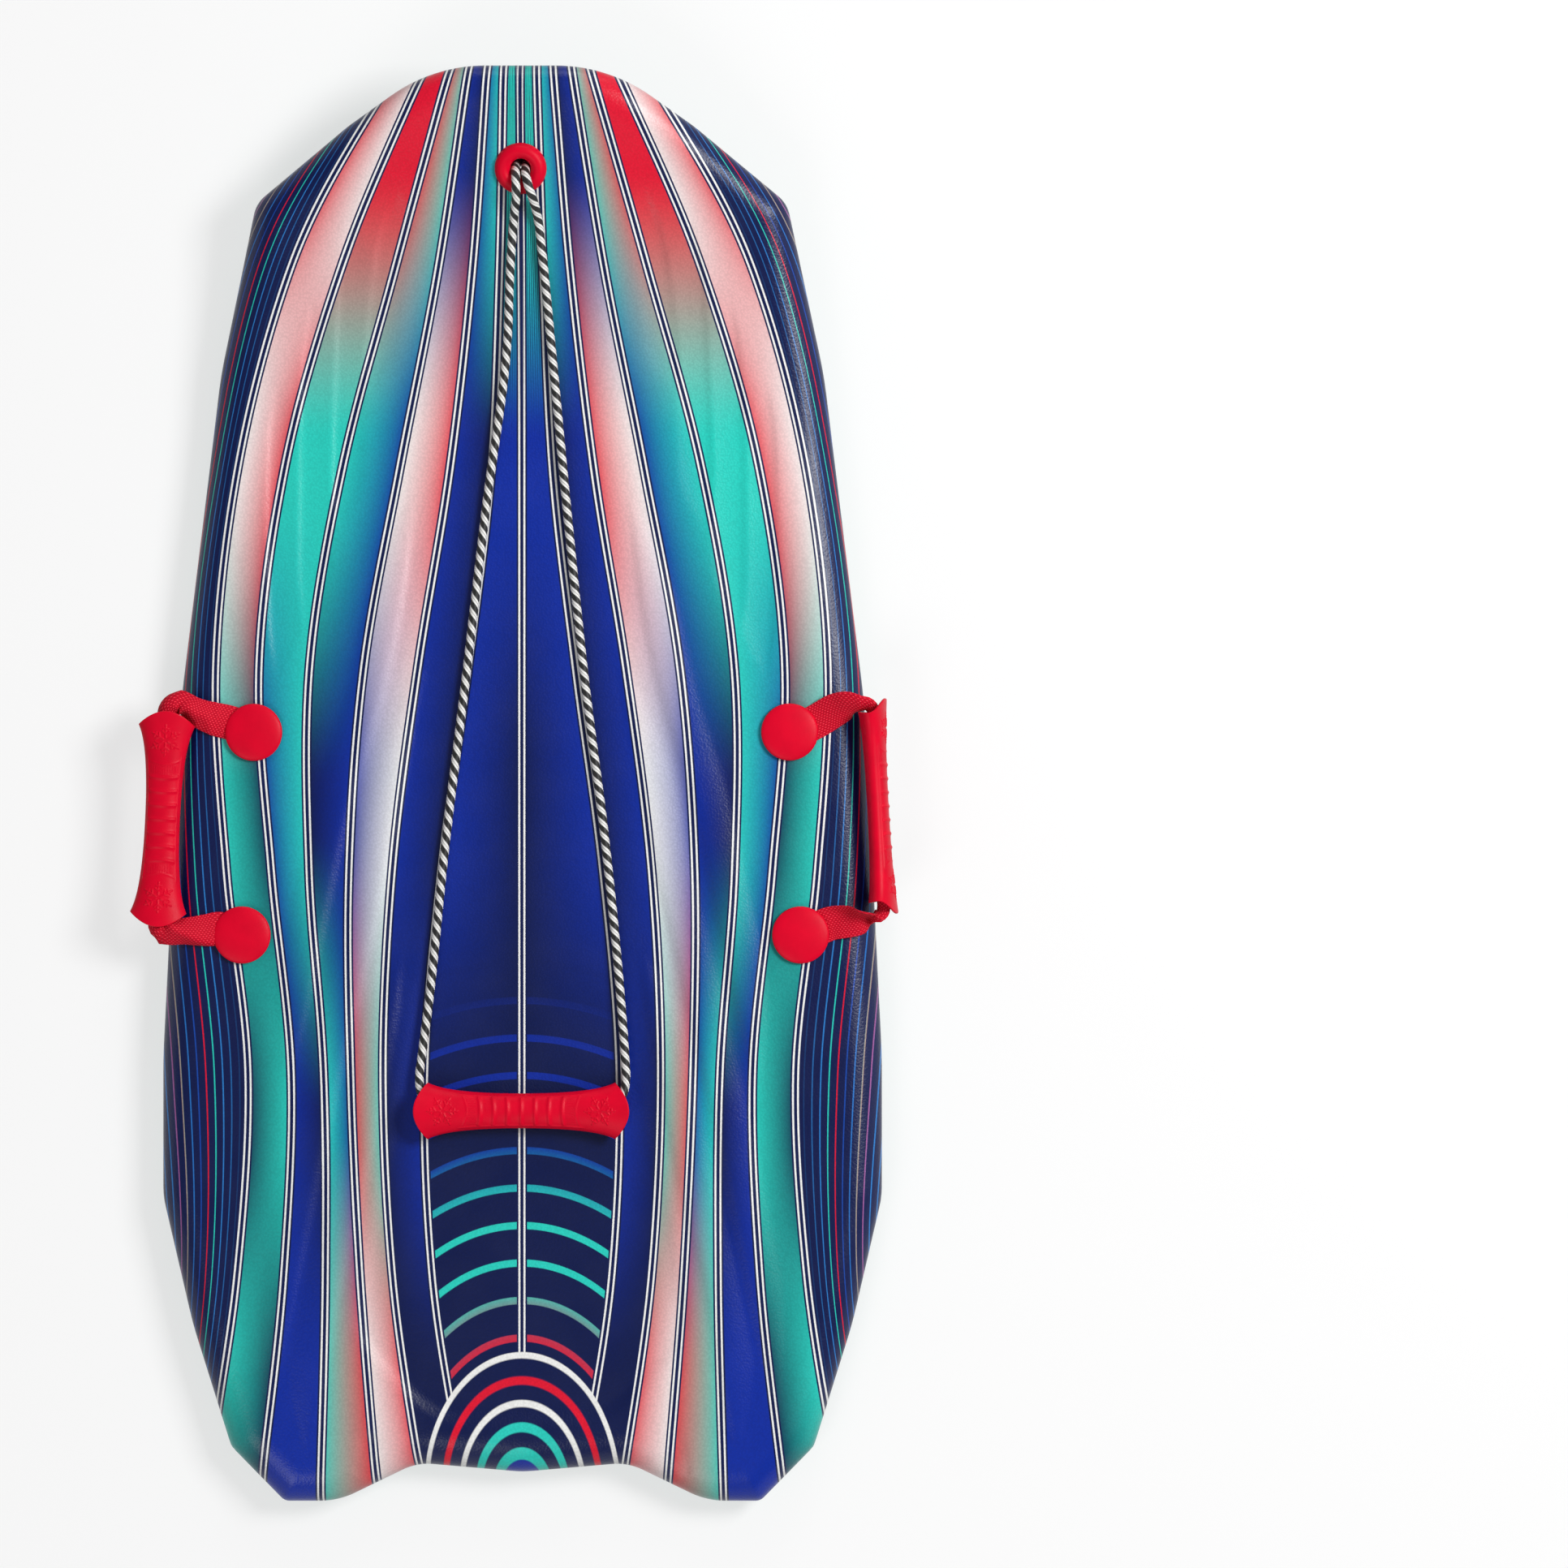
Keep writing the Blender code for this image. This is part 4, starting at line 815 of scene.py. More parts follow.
def braided_cord(rope, turns, name):
    """Laid polypropylene cord: black and white strands in pairs, of shiny fibres, with painted shade in the
    valleys between them.

    The real fibres are under 0.1 mm thick. They are drawn coarser to show, 60 to the cord's girth.
    """
    material, shader, add = new_material(name)
    uv = add("UVMap", uv_map="UVMap")
    around, along = add("SeparateXYZ", [uv], 0), add("SeparateXYZ", [uv], 1)
    strand = add("Math", [along, turns, around], operation="MULTIPLY_ADD")
    half = add("Math", [strand, ROPE_LOBES / 4], operation="MULTIPLY")
    half = add("Math", [half], operation="FRACT")
    across = add("Math", [strand, FIBRE_COUNT], operation="MULTIPLY")
    down = add("Math", [along, turns * FIBRE_BREAKS], operation="MULTIPLY")
    fibres = {"Vector": add("CombineXYZ", [across, down]), "Scale": 1.0, "Detail": 3.0}
    grain = add("TexNoise", fibres)
    crest = add("Math", [strand, float(ROPE_LOBES)], operation="MULTIPLY")
    crest = add("Math", [crest, 0.5], operation="PINGPONG")
    pair = add("Math", [half, 0.5], operation="GREATER_THAN")
    ground = add("Mix", {0: pair, FIRST: rope.dark, SECOND: rope.light}, MIXED, data_type="RGBA")
    # The fibres' grain tones the colour at random, and the valleys between the strands are darkened as
    # painted shade
    for value, *shades in ((grain, 0.3, 0.7, 0.78, 1.1), (crest, 0.02, 0.16, 0.30, 1.0)):
        toned = {0: 1.0, FIRST: ground, SECOND: add("MapRange", [value, *shades])}
        ground = add("Mix", toned, MIXED, data_type="RGBA", blend_type="MULTIPLY")
    look = {
        "Base Color": ground,
        "Roughness": 0.5,
        "IOR": 1.49,
        "Sheen Weight": 0.1,
        "Normal": add("Bump", {"Strength": 0.5, "Distance": 0.0003, "Height": grain}),
    }
    connect(shader, look)
    return material


# Shapes
def deselect_all():
    if bpy.context.mode != "OBJECT":
        bpy.ops.object.mode_set(mode="OBJECT")
    bpy.ops.object.select_all(action="DESELECT")


def activate(obj):
    deselect_all()
    obj.select_set(True)
    bpy.context.view_layer.objects.active = obj


def smooth_line(points, longest):
    """Rows along a smooth curve through the given rows, about as far apart as longest."""
    rows = np.array(points, float)
    spans = np.linalg.norm(np.diff(rows[:, :3], axis=0), axis=1)
    slopes = np.diff(rows, axis=0) / spans[:, None]
    before, after = spans[:-1, None], spans[1:, None]
    inner = (slopes[1:] * before + slopes[:-1] * after) / (before + after)
    tangents = np.vstack([slopes[:1], inner, slopes[-1:]])
    found = []
    for k, span in enumerate(spans):
        pieces = max(1, round(span / longest))
        for t in np.arange(pieces) / pieces:
            start, end = (1 + 2 * t) * (1 - t) ** 2, t * t * (3 - 2 * t)
            leave, arrive = t * (1 - t) ** 2, t * t * (t - 1)
            curve = (leave * tangents[k] + arrive * tangents[k + 1]) * span
            found.append(start * rows[k] + end * rows[k + 1] + curve)
    return np.array([*found, rows[-1]])


def even_line(points, step):
    """A smooth curve through the rows again, its points all as far apart."""
    fine = smooth_line(points, step / 4)
    far = np.concatenate([[0], np.cumsum(np.linalg.norm(np.diff(fine[:, :3], axis=0), axis=1))])
    at = np.linspace(0, far[-1], max(2, round(far[-1] / step)) + 1)
    return np.stack([np.interp(at, far, fine[:, k]) for k in range(fine.shape[1])], axis=1)


def get_places(mesh):
    """Places of a mesh's vertices, one row each."""
    flat = np.zeros(len(mesh.vertices) * 3)
    mesh.vertices.foreach_get("co", flat)
    return flat.reshape(-1, 3)


def set_uv_maps(mesh, maps):
    """Gives a mesh new UV maps in place of its own, from each map's two values at every vertex."""
    corners = np.zeros(len(mesh.loops), int)
    mesh.loops.foreach_get("vertex_index", corners)
    for layer in list(mesh.uv_layers):
        mesh.uv_layers.remove(layer)
    for name, values in maps.items():
        layer = mesh.uv_layers.new(name=name)
        layer.data.foreach_set("uv", np.stack(values, axis=1)[corners].ravel())


def wrap_grid(name, places):
    """A grid laid over rows and columns of places; edges that meet are merged, so a tube closes."""
    rows, columns = places.shape[0] - 1, places.shape[1] - 1
    deselect_all()
    bpy.ops.mesh.primitive_grid_add(x_subdivisions=columns, y_subdivisions=rows, size=2, calc_uvs=True)
    obj = bpy.context.object
    obj.name = obj.data.name = name
    flat = get_places(obj.data)
    column = np.rint((flat[:, 0] + 1) / 2 * columns).astype(int)
    row = np.rint((flat[:, 1] + 1) / 2 * rows).astype(int)
    obj.data.vertices.foreach_set("co", places[row, column].ravel())
    bpy.ops.object.mode_set(mode="EDIT")
    bpy.ops.mesh.select_all(action="SELECT")
    bpy.ops.mesh.remove_doubles(threshold=WELD)
    bpy.ops.mesh.normals_make_consistent(inside=False)
    bpy.ops.object.mode_set(mode="OBJECT")
    return obj


def smooth(obj, degrees=40):
    activate(obj)
    bpy.ops.object.shade_smooth_by_angle(angle=math.radians(degrees))
    return obj


def put(obj, place):
    """Sets a piece down at its place, which is then in its mesh."""
    activate(obj)
    obj.matrix_world = place
    bpy.ops.object.transform_apply()
    return obj


def copied(model, name, place):
    """A copy of a piece that was modelled at the origin, with its own mesh, set down at a place."""
    activate(model)
    bpy.ops.object.duplicate()
    piece = bpy.context.object
    piece.name = piece.data.name = name
    return put(piece, place)


def dress(obj, material, slot, body, *nodes):
    """Gives a piece its material and body, and hides the imported nodes that it stands for. The slot is not
    used.
    """
    obj.data.materials.clear()
    obj.data.materials.append(material)
    if body:
        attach(obj, body)
    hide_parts(*nodes)
    return obj


# Board
def rounded_loop(board, shares, inset):
    """A mirrored outline moved in by inset, its corners filleted, anticlockwise from the nose.

    It comes with the place of the middle of each corner's arc on the left.
    """
    half_width, half_length = board.width / 2, board.length / 2
    left = [(Vector((-x * half_width, y * half_length)), r * half_width, n) for x, y, r, n in shares]
    right = [(Vector((-p.x, p.y)), r, n) for p, r, n in reversed(left) if p.x]
    corners = left + right
    points, middles = [], []
    for i, (corner, radius, steps) in enumerate(corners):
        following = corners[(i + 1) % len(corners)][0]
        way_in = (corner - corners[i - 1][0]).normalized()
        way_out = (following - corner).normalized()
        turn = math.atan2(way_in.cross(way_out), way_in.dot(way_out))
        in_normal, out_normal = Vector((-way_in.y, way_in.x)), Vector((-way_out.y, way_out.x))
        moved = corner + inset * (in_normal + out_normal) / (1 + in_normal.dot(out_normal))
        fillet = max(radius - math.copysign(inset, turn), LEAST_FILLET)
        start = moved - way_in * fillet * math.tan(abs(turn) / 2)
        centre = start + in_normal * math.copysign(fillet, turn)
        middles.append(len(points) + steps // 2)
        arm = start - centre
        points += [centre + Matrix.Rotation(turn * k / steps, 2) @ arm for k in range(steps + 1)]
    return np.array(points), middles


def loop_run(points, first, last, shares):
    """Points of a closed loop from one of its points to another, at shares of the way between them."""
    count = (last - first) % len(points)
    run = points[(first + np.arange(count + 1)) % len(points)]
    far = np.concatenate([[0], np.cumsum(np.linalg.norm(np.diff(run, axis=0), axis=1))])
    return np.stack([np.interp(shares * far[-1], far, run[:, k]) for k in (0, 1)], axis=1)


def stations(total, insets, count):
    """Places of a grid's lines: as close as the rail's rings near both ends, and even between them."""
    inner = np.linspace(insets[-1], total - insets[-1], count - 2 * RAIL_RINGS + 1)
    return np.concatenate([insets[:-1], inner, total - insets[-2::-1]])


def board_places(board, rail_width):
    """Rows and columns of x, y and height over the seam for one side of the board."""
    turns = np.linspace(0, math.pi / 2, RAIL_RINGS + 1)
    insets = rail_width * (1 - np.cos(turns))
    rises = board.thickness / 2 * np.sin(turns)
    across = stations(board.width, insets, BOARD_COLUMNS)
    along = stations(board.length, insets, BOARD_ROWS)
    places = np.zeros((BOARD_ROWS + 1, BOARD_COLUMNS + 1, 3))
    places[:, :, 2] = rises[-1]
    for r, (inset, rise) in enumerate(zip(insets.tolist(), rises.tolist())):
        loop, middles = rounded_loop(board, OUTLINE_SHARES, inset)
        last = len(loop) - 1
        shoulder, tail = middles[SHOULDER_CORNER], middles[TAIL_CORNER]
        top, right = BOARD_ROWS - r, BOARD_COLUMNS - r
        u = (across[r : right + 1] - across[r]) / (across[right] - across[r])
        v = (along[r : top + 1] - along[r]) / (along[top] - along[r])
        places[r : top + 1, r, :2] = loop_run(loop, shoulder, tail, 1 - v)
        places[r : top + 1, right, :2] = loop_run(loop, last - tail, last - shoulder, v)
        places[r, r : right + 1, :2] = loop_run(loop, tail, last - tail, u)
        places[top, r : right + 1, :2] = loop_run(loop, last - shoulder, shoulder, 1 - u)
        places[r : top + 1, r, 2] = places[r : top + 1, right, 2] = rise
        places[r, r : right + 1, 2] = places[top, r : right + 1, 2] = rise
    r = RAIL_RINGS
    sheet = places[r : top + 1, r : right + 1, :2]
    u, v = u[None, :, None], v[:, None, None]
    low, high, left, right = sheet[:1], sheet[-1:], sheet[:, :1], sheet[:, -1:]
    corners = (1 - u) * (1 - v) * low[:, :1] + u * (1 - v) * low[:, -1:]
    corners += (1 - u) * v * high[:, :1] + u * v * high[:, -1:]
    sheet[:] = (1 - v) * low + v * high + (1 - u) * left + u * right - corners
    return places


def distance_along(points, route):
    """How far points are from a route in the plan, the share of the route where that is, and their side."""
    line = smooth_line(route, STRAKE_STEP)
    near, share, side = np.full(len(points), np.inf), np.zeros(len(points)), np.zeros(len(points))
    for k, (a, b) in enumerate(zip(line, line[1:])):
        way = b - a
        t = np.clip((points - a) @ way / (way @ way), 0, 1)
        away = np.linalg.norm(points - a - t[:, None] * way, axis=1)
        closer = away < near
        near[closer], share[closer] = away[closer], (k + t[closer]) / (len(line) - 1)
        side[closer] = (way[0] * (points - a)[:, 1] - way[1] * (points - a)[:, 0])[closer]
    return near, share, side


def strake(points, route, half_width, power=STRAKE_POWER, flanks=(1, 1)):
    """Height share of a rib along a route: it swells from a point and runs out to a point.

    The flanks are the widths of its outer and inner side, as shares of half_width.
    """
    near, share, side = distance_along(points, route)
    near = near / np.where(side > 0, *flanks)
    taper = np.clip(np.minimum(share, 1 - share) / STRAKE_TAPER_SHARE, 0, 1)
    swell = np.maximum(np.sin(taper * math.pi / 2), LEAST_SWELL_SHARE)
    return swell * np.clip(1 - (near / (half_width * swell)) ** 2, 0, 1) ** power


def mirrored(points):
    """Points of the plan with those on the left folded over to the right."""
    return np.stack([np.abs(points[:, 0]), points[:, 1]], axis=1)


def mirrored_strake(board, points, shares, half_width, flanks=(1, 1)):
    route = [(x * board.width / 2, y * board.length / 2) for x, y in shares]
    return strake(mirrored(points), route, half_width, flanks=flanks)


def smooth_share(values, low, high):
    t = np.clip((values - low) / (high - low), 0, 1)
    return t * t * (3 - 2 * t)


def dish_share(board, points):
    """Share of the dish's full depth at each point: its sides slope in, and it runs out forwards."""
    loop, _ = rounded_loop(board, DISH_CORNER_SHARES, 0)
    near = np.full(len(points), np.inf)
    inside = np.zeros(len(points), bool)
    for a, b in zip(loop, np.roll(loop, -1, axis=0)):
        way = b - a
        t = np.clip((points - a) @ way / max(way @ way, 1e-12), 0, 1)
        near = np.minimum(near, np.linalg.norm(points - a - t[:, None] * way, axis=1))
        between = (a[1] > points[:, 1]) != (b[1] > points[:, 1])
        inside ^= between & (points[:, 0] < way[0] * (points[:, 1] - a[1]) / (way[1] or 1e-12) + a[0])
    front, rear = DISH_CORNER_SHARES[0][1], DISH_CORNER_SHARES[-1][1]
    back = (front - points[:, 1] / (board.length / 2)) / (front - rear)
    deep = np.clip(back - DISH_RUN_OUT_SHARE, 0, 1)
    return np.where(inside, smooth_share(near, 0, DISH_SLOPE), 0) * deep


def deck_relief(board, points):
    height = -board.dish_depth * dish_share(board, points)
    for rise, routes, *form in (
        (board.swell_height, SWELL_SHARES, SWELL_HALF_WIDTH, SWELL_FLANKS),
        (-board.flute_depth, FLUTE_SHARES, FLUTE_HALF_WIDTH, FLUTE_FLANKS),
    ):
        for shares in routes:
            height += rise * mirrored_strake(board, points, shares, *form)
    return height


def base_relief(board, points):
    height = np.zeros(len(points))
    for x, front, rear in RIDGES:
        route = [(x, y) for y in np.linspace(front, rear, RIDGE_POINTS)]
        height -= board.ridge_height * strake(mirrored(points), route, RIDGE_HALF_WIDTH, RIDGE_POWER)
    height += board.groove_depth * mirrored_strake(board, points, GROOVE_SHARES, GROOVE_HALF_WIDTH)
    radius = bpy.context.scene.sled_plugs.base_radius + GAP
    for place in PLUG_PLACES.values():
        away = np.linalg.norm(points - place, axis=1)
        height += DIMPLE_DEPTH * (1 - smooth_share(away, radius, radius + DIMPLE_FLARE))
    away = np.linalg.norm(points - (0, TOW_Y), axis=1)
    radius = bpy.context.scene.sled_plugs.tow_base_radius
    return height + TOW_DIMPLE_DEPTH * (1 - smooth_share(away, radius, radius + TOW_DIMPLE_FLARE))


def rise_start(board):
    return board.length / 2 - board.nose_rise_length


def rocker(board, y):
    """How far the upturned nose lifts the board at y."""
    return board.nose_rise * (np.maximum(y - rise_start(board), 0) / board.nose_rise_length) ** 2


def deck_z(board):
    return SLICK_Z + board.thickness


def seam_z(board):
    return SLICK_Z + board.thickness / 2


def tow_frame(board):
    """The grommet's frame: its middle on the deck, +Y back along the deck and +Z square to it."""
    slope = 2 * board.nose_rise * (TOW_Y - rise_start(board)) / board.nose_rise_length**2
    place = Matrix.Translation((0, TOW_Y, deck_z(board) + rocker(board, TOW_Y)))
    return place @ Matrix.Rotation(math.atan(slope), 4, "X") @ Matrix.Rotation(math.pi, 4, "Z")


def tow_base_z(board):
    """Height of the tow base's seat under the deck, in the grommet's frame."""
    return TOW_BASE_SEAT_DEPTH - board.thickness * tow_frame(board).to_3x3().col[2].z - GAP


def close_at_seam(obj):
    """Closes a side of the board across the seam, with rungs from side to side and one face at the tail.

    The rungs start ahead of the tail's hollow, which the tail's face follows.
    """
    bm = bmesh.new()
    bm.from_mesh(obj.data)
    bm.verts.ensure_lookup_table()
    wide = BOARD_COLUMNS + 1
    left = [bm.verts[j * wide] for j in range(BOARD_ROWS + 1)]
    right = [bm.verts[j * wide + BOARD_COLUMNS] for j in range(BOARD_ROWS + 1)]
    top = [bm.verts[BOARD_ROWS * wide + i] for i in range(wide)]
    tail = [bm.verts[i] for i in range(wide)]
    first = next(j for j in range(BOARD_ROWS) if left[j].co.y > max(v.co.y for v in tail) + OVERRUN)
    for j in range(first, BOARD_ROWS):
        bm.faces.new((left[j], right[j], right[j + 1], left[j + 1]))
    for i in range(BOARD_COLUMNS // 2 - 1):
        bm.faces.new((top[i], top[i + 1], top[-2 - i], top[-1 - i]))
    middle = BOARD_COLUMNS // 2
    bm.faces.new((top[middle - 1], top[middle], top[middle + 1]))
    bm.faces.new([*tail, *right[1 : first + 1], *left[first:0:-1]])
    bm.to_mesh(obj.data)
    bm.free()


def plug_cutters(board):
    """Round cutters for the holes of the strap plugs and the tow plug, joined into one."""
    tube = STEM_RADIUS + TUBE_WALL + 2 * GAP
    tow_tube = (TOW_STEM_RADIUS + TUBE_WALL) * HOLE_SHARE
    holes = [(CUTTER_SIDES, tube, Matrix.Translation((*at, CUTTER_Z))) for at in PLUG_PLACES.values()]
    holes.append((TOW_CUTTER_SIDES, tow_tube, tow_frame(board)))
    deselect_all()
    made = []
    for sides, radius, place in holes:
        bpy.ops.mesh.primitive_cylinder_add(vertices=sides, radius=radius, depth=CUTTER_DEPTH)
        bpy.context.object.matrix_world = place
        made.append(bpy.context.object)
    for obj in made:
        obj.select_set(True)
    bpy.ops.object.join()
    return bpy.context.object


def board_side(board, name, rail_width, up, relief):
    """One side of the board from its seam over the rail to its face, up for 1 and down for -1."""
    obj = wrap_grid(name, board_places(board, rail_width))
    close_at_seam(obj)
    activate(obj)
    bpy.ops.object.mode_set(mode="EDIT")
    bpy.ops.mesh.select_all(action="DESELECT")
    bm = bmesh.from_edit_mesh(obj.data)
    plugs = [*PLUG_PLACES.values(), (0, TOW_Y)]
    for face in bm.faces:
        middle = face.calc_center_median()
        near = any(math.hypot(middle.x - x, middle.y - y) < FINE_REACH for x, y in plugs)
        face.select_set(near and middle.z > board.thickness * FACE_SHARE)
    bmesh.update_edit_mesh(obj.data)
    bpy.ops.mesh.subdivide(number_cuts=FINE_CUTS)
    bpy.ops.mesh.select_all(action="SELECT")
    bpy.ops.mesh.quads_convert_to_tris()
    bpy.ops.mesh.normals_make_consistent(inside=False)
    bpy.ops.object.mode_set(mode="OBJECT")
    spots = get_places(obj.data)
    share = spots[:, 2] / (board.thickness / 2)
    height = relief(board, spots[:, :2]) * share**2 + rocker(board, spots[:, 1])
    spots[:, 2] = seam_z(board) + up * np.maximum(spots[:, 2], GAP / 2) + height
    obj.data.vertices.foreach_set("co", spots.ravel())
    if up < 0:
        bpy.ops.object.mode_set(mode="EDIT")
        bpy.ops.mesh.select_all(action="SELECT")
        bpy.ops.mesh.flip_normals()
        bpy.ops.object.mode_set(mode="OBJECT")
    obj.data.update()
    return obj


def cut(obj, cutter):
    activate(obj)
    modifier = obj.modifiers.new("Plug holes", "BOOLEAN")
    modifier.operation = "DIFFERENCE"
    modifier.solver = "MANIFOLD"
    modifier.object = cutter
    bpy.ops.object.modifier_apply(modifier=modifier.name)


def ribbon_flow(board, x, y):
    """Where points lie among the ribbons, from 0 in the middle to 1 past the edge.

    With it come the distances to the nearest even and the nearest odd edge, the middle line being 0.
    """
    at = y / (board.length / 2)
    across = np.abs(x) / (board.width / 2)
    inner, flow = np.zeros(len(x)), np.zeros(len(x))
    near = [across * board.width / 2, np.full(len(x), np.inf)]
    for k, edge in enumerate(RIBBON_EDGES, 1):
        curve = smooth_line(list(zip(RIBBON_STATIONS, edge)), RIBBON_STEP)
        outer = np.interp(at, curve[::-1, 0], curve[::-1, 1])
        flow += np.clip((across - inner) / (outer - inner), 0, 1)
        slant = np.gradient(curve[:, 1] * board.width / 2) / np.gradient(curve[:, 0] * board.length / 2)
        slant = np.interp(at, curve[::-1, 0], slant[::-1])
        away = (across - outer) * board.width / 2 / np.hypot(1, slant)
        near[k % 2] = np.where(np.abs(away) < np.abs(near[k % 2]), away, near[k % 2])
        inner = outer
    return flow / len(RIBBON_EDGES), *near


def map_print(board, mesh):
    """Gives the deck the UV maps that its print follows: across the ribbons and along, and their edges."""
    x, y, _ = get_places(mesh).T
    flow, even, odd = ribbon_flow(board, x, y)
    set_uv_maps(mesh, {"print": (flow, y / board.length + 0.5), "ribbon_edges": (even, odd)})


# Turned pieces
def arc(centre, radii, start, end, steps=ARC_STEPS):
    """Points of radius and height on an ellipse, between two angles in degrees."""
    angles = np.radians(np.linspace(start, end, steps + 1))
    return [(centre[0] + radii[0] * math.cos(a), centre[1] + radii[1] * math.sin(a)) for a in angles]


def turned(name, profile, closed=False):
    """A piece drawn as a profile of radius and height, extruded point by point and spun round."""
    deselect_all()
    bpy.ops.mesh.primitive_plane_add(size=0.001)
    obj = bpy.context.object
    obj.name = obj.data.name = name
    bpy.ops.object.mode_set(mode="EDIT")
    bpy.ops.mesh.merge(type="CENTER")
    bpy.ops.transform.translate(value=(profile[0][0], 0, profile[0][1]))
    points = profile + profile[:1] if closed else profile
    for (r0, z0), (r1, z1) in zip(points, points[1:]):
        bpy.ops.mesh.extrude_region_move(TRANSFORM_OT_translate={"value": (r1 - r0, 0, z1 - z0)})
    bpy.ops.mesh.select_all(action="SELECT")
    bpy.ops.mesh.spin(steps=TURNED_SIDES, angle=2 * math.pi, center=(0, 0, 0), axis=(0, 0, 1))
    bpy.ops.mesh.select_all(action="SELECT")
    bpy.ops.mesh.remove_doubles(threshold=WELD)
    bpy.ops.mesh.normals_make_consistent(inside=False)
    return smooth(obj)


def dome(radius, crown):
    """Points down a low dome with a full shoulder, from its crown to its rim."""
    turns = np.linspace(0, math.pi / 2, DOME_POINTS)
    full = crown - CAP_LIP
    return [(radius * math.sin(t), CAP_LIP + full * math.cos(t) ** CAP_POWER) for t in turns]


def deck_cap(plugs, board):
    rim, foot = plugs.cap_radius - CAP_RIM_FILLET, -board.thickness * DECK_STEM_SHARE
    profile = dome(plugs.cap_radius, plugs.cap_crown)
    profile += arc((rim, CAP_RIM_FILLET), (CAP_RIM_FILLET, CAP_RIM_FILLET), 0, -90, RIM_STEPS)
    profile += [(STEM_RADIUS, 0), (STEM_RADIUS, foot), (0, foot)]
    return turned("deck_cap_model", profile)


def base_cap(plugs, board):
    rim, top = plugs.base_radius - CAP_RIM_FILLET, board.thickness * BASE_TUBE_SHARE
    outer, inner = STEM_RADIUS + TUBE_WALL, STEM_RADIUS + GAP
    profile = [(x, -z) for x, z in dome(plugs.base_radius, plugs.base_crown)]
    profile += arc((rim, -CAP_RIM_FILLET), (CAP_RIM_FILLET, CAP_RIM_FILLET), 0, 90, RIM_STEPS)
    profile += [(outer, 0), (outer, top), (inner, top), (inner, SOCKET_FLOOR), (0, SOCKET_FLOOR)]
    return turned("base_cap_model", profile)


def tow_plug_top(plugs, board):
    """A round grommet with a full lip that turns into its bore."""
    outer, bore, seat = plugs.flange_radius, TOW_BORE_RADIUS, GAP - TOW_SEAT_DEPTH
    middle, half = (outer + bore) / 2, (outer - bore) / 2
    foot = tow_base_z(board) + TOW_STEM_STOP
    profile = [(outer, seat), *arc((middle, 0), (half, TOW_LIP_HEIGHT), 0, 180, TOW_LIP_STEPS)]
    profile += [(bore, foot), (TOW_STEM_RADIUS, foot), (TOW_STEM_RADIUS, seat)]
    return put(turned("tow_plug_top_visual", profile, closed=True), tow_frame(board))


def tow_plug_base(plugs, board):
    """A domed cap with a soft shoulder and a dish round its hole."""
    edge, bore, top = plugs.tow_base_radius, TOW_BORE_RADIUS, tow_base_z(board)
    tube, outer = TOW_STEM_RADIUS + GAP, TOW_STEM_RADIUS + TUBE_WALL
    low, floor_z = top - TOW_BASE_CROWN, top + SOCKET_FLOOR
    shoulder = (TOW_SHOULDER, TOW_BASE_CROWN - CAP_LIP)
    profile = [(tube, TOW_TUBE_TOP), (outer, TOW_TUBE_TOP), (outer, top), (edge, top)]
    profile += arc((edge - TOW_SHOULDER, top - CAP_LIP), shoulder, 0, -90)
    for t in np.linspace(0, 1, TOW_DISH_POINTS):
        rise = TOW_DISH_DEPTH * math.sin(t * math.pi / 2) ** 2
        profile.append((TOW_DISH_RADIUS + (bore - TOW_DISH_RADIUS) * t, low + rise))
    profile += [(bore, floor_z), (tube, floor_z)]
    return put(turned("tow_plug_base_visual", profile, closed=True), tow_frame(board))


# Rope
def rope_points(board):
    frame_at = tow_frame(board)
    floor_z = tow_base_z(board) - TOW_BASE_CROWN + TOW_DISH_DEPTH + GAP
    rows = ((*ROPE_UP_THE_BORE[0][:3], floor_z), *ROPE_UP_THE_BORE)
    left = [frame_at @ Vector((-row[0], row[2], row[3])) for row in rows]
    right = [frame_at @ Vector((-row[1], row[2], row[3])) for row in rows]
    return [*left, *LEFT_ROPE_RUN, *RIGHT_ROPE_RUN, *right[::-1]]


def cord_tube(name, line, radius, lay):
    """A laid cord along a line: a tube whose strands stand out and wind round it, its ends closed."""
    line = np.array(line)
    ways = np.gradient(line, axis=0)
    ways /= np.linalg.norm(ways, axis=1)[:, None]
    side = Vector(ways[0]).orthogonal().normalized()
    sides = []
    for way in ways:
        side = (side - Vector(way) * side.dot(Vector(way))).normalized()
        sides.append(side.copy())
    sides = np.array(sides)
    ups = np.cross(ways, sides)
    far = np.concatenate([[0], np.cumsum(np.linalg.norm(np.diff(line, axis=0), axis=1))])
    around = np.linspace(0, 1, ROPE_SIDES + 1)[None, :]
    lobes = np.abs(np.sin(math.pi * ROPE_LOBES * (around + far[:, None] / lay)))
    reach = radius + LOBE_RISE - LOBE_DEPTH * (1 - lobes)
    angle = 2 * math.pi * around
    ring = np.cos(angle)[..., None] * sides[:, None] + np.sin(angle)[..., None] * ups[:, None]
    places = line[:, None] + ring * reach[..., None]
    ends = [np.repeat(line[k][None, None], ROPE_SIDES + 1, axis=1) for k in (0, -1)]
    places = np.concatenate([ends[0], places, ends[1]])
    return wrap_grid(name, places), far[-1]


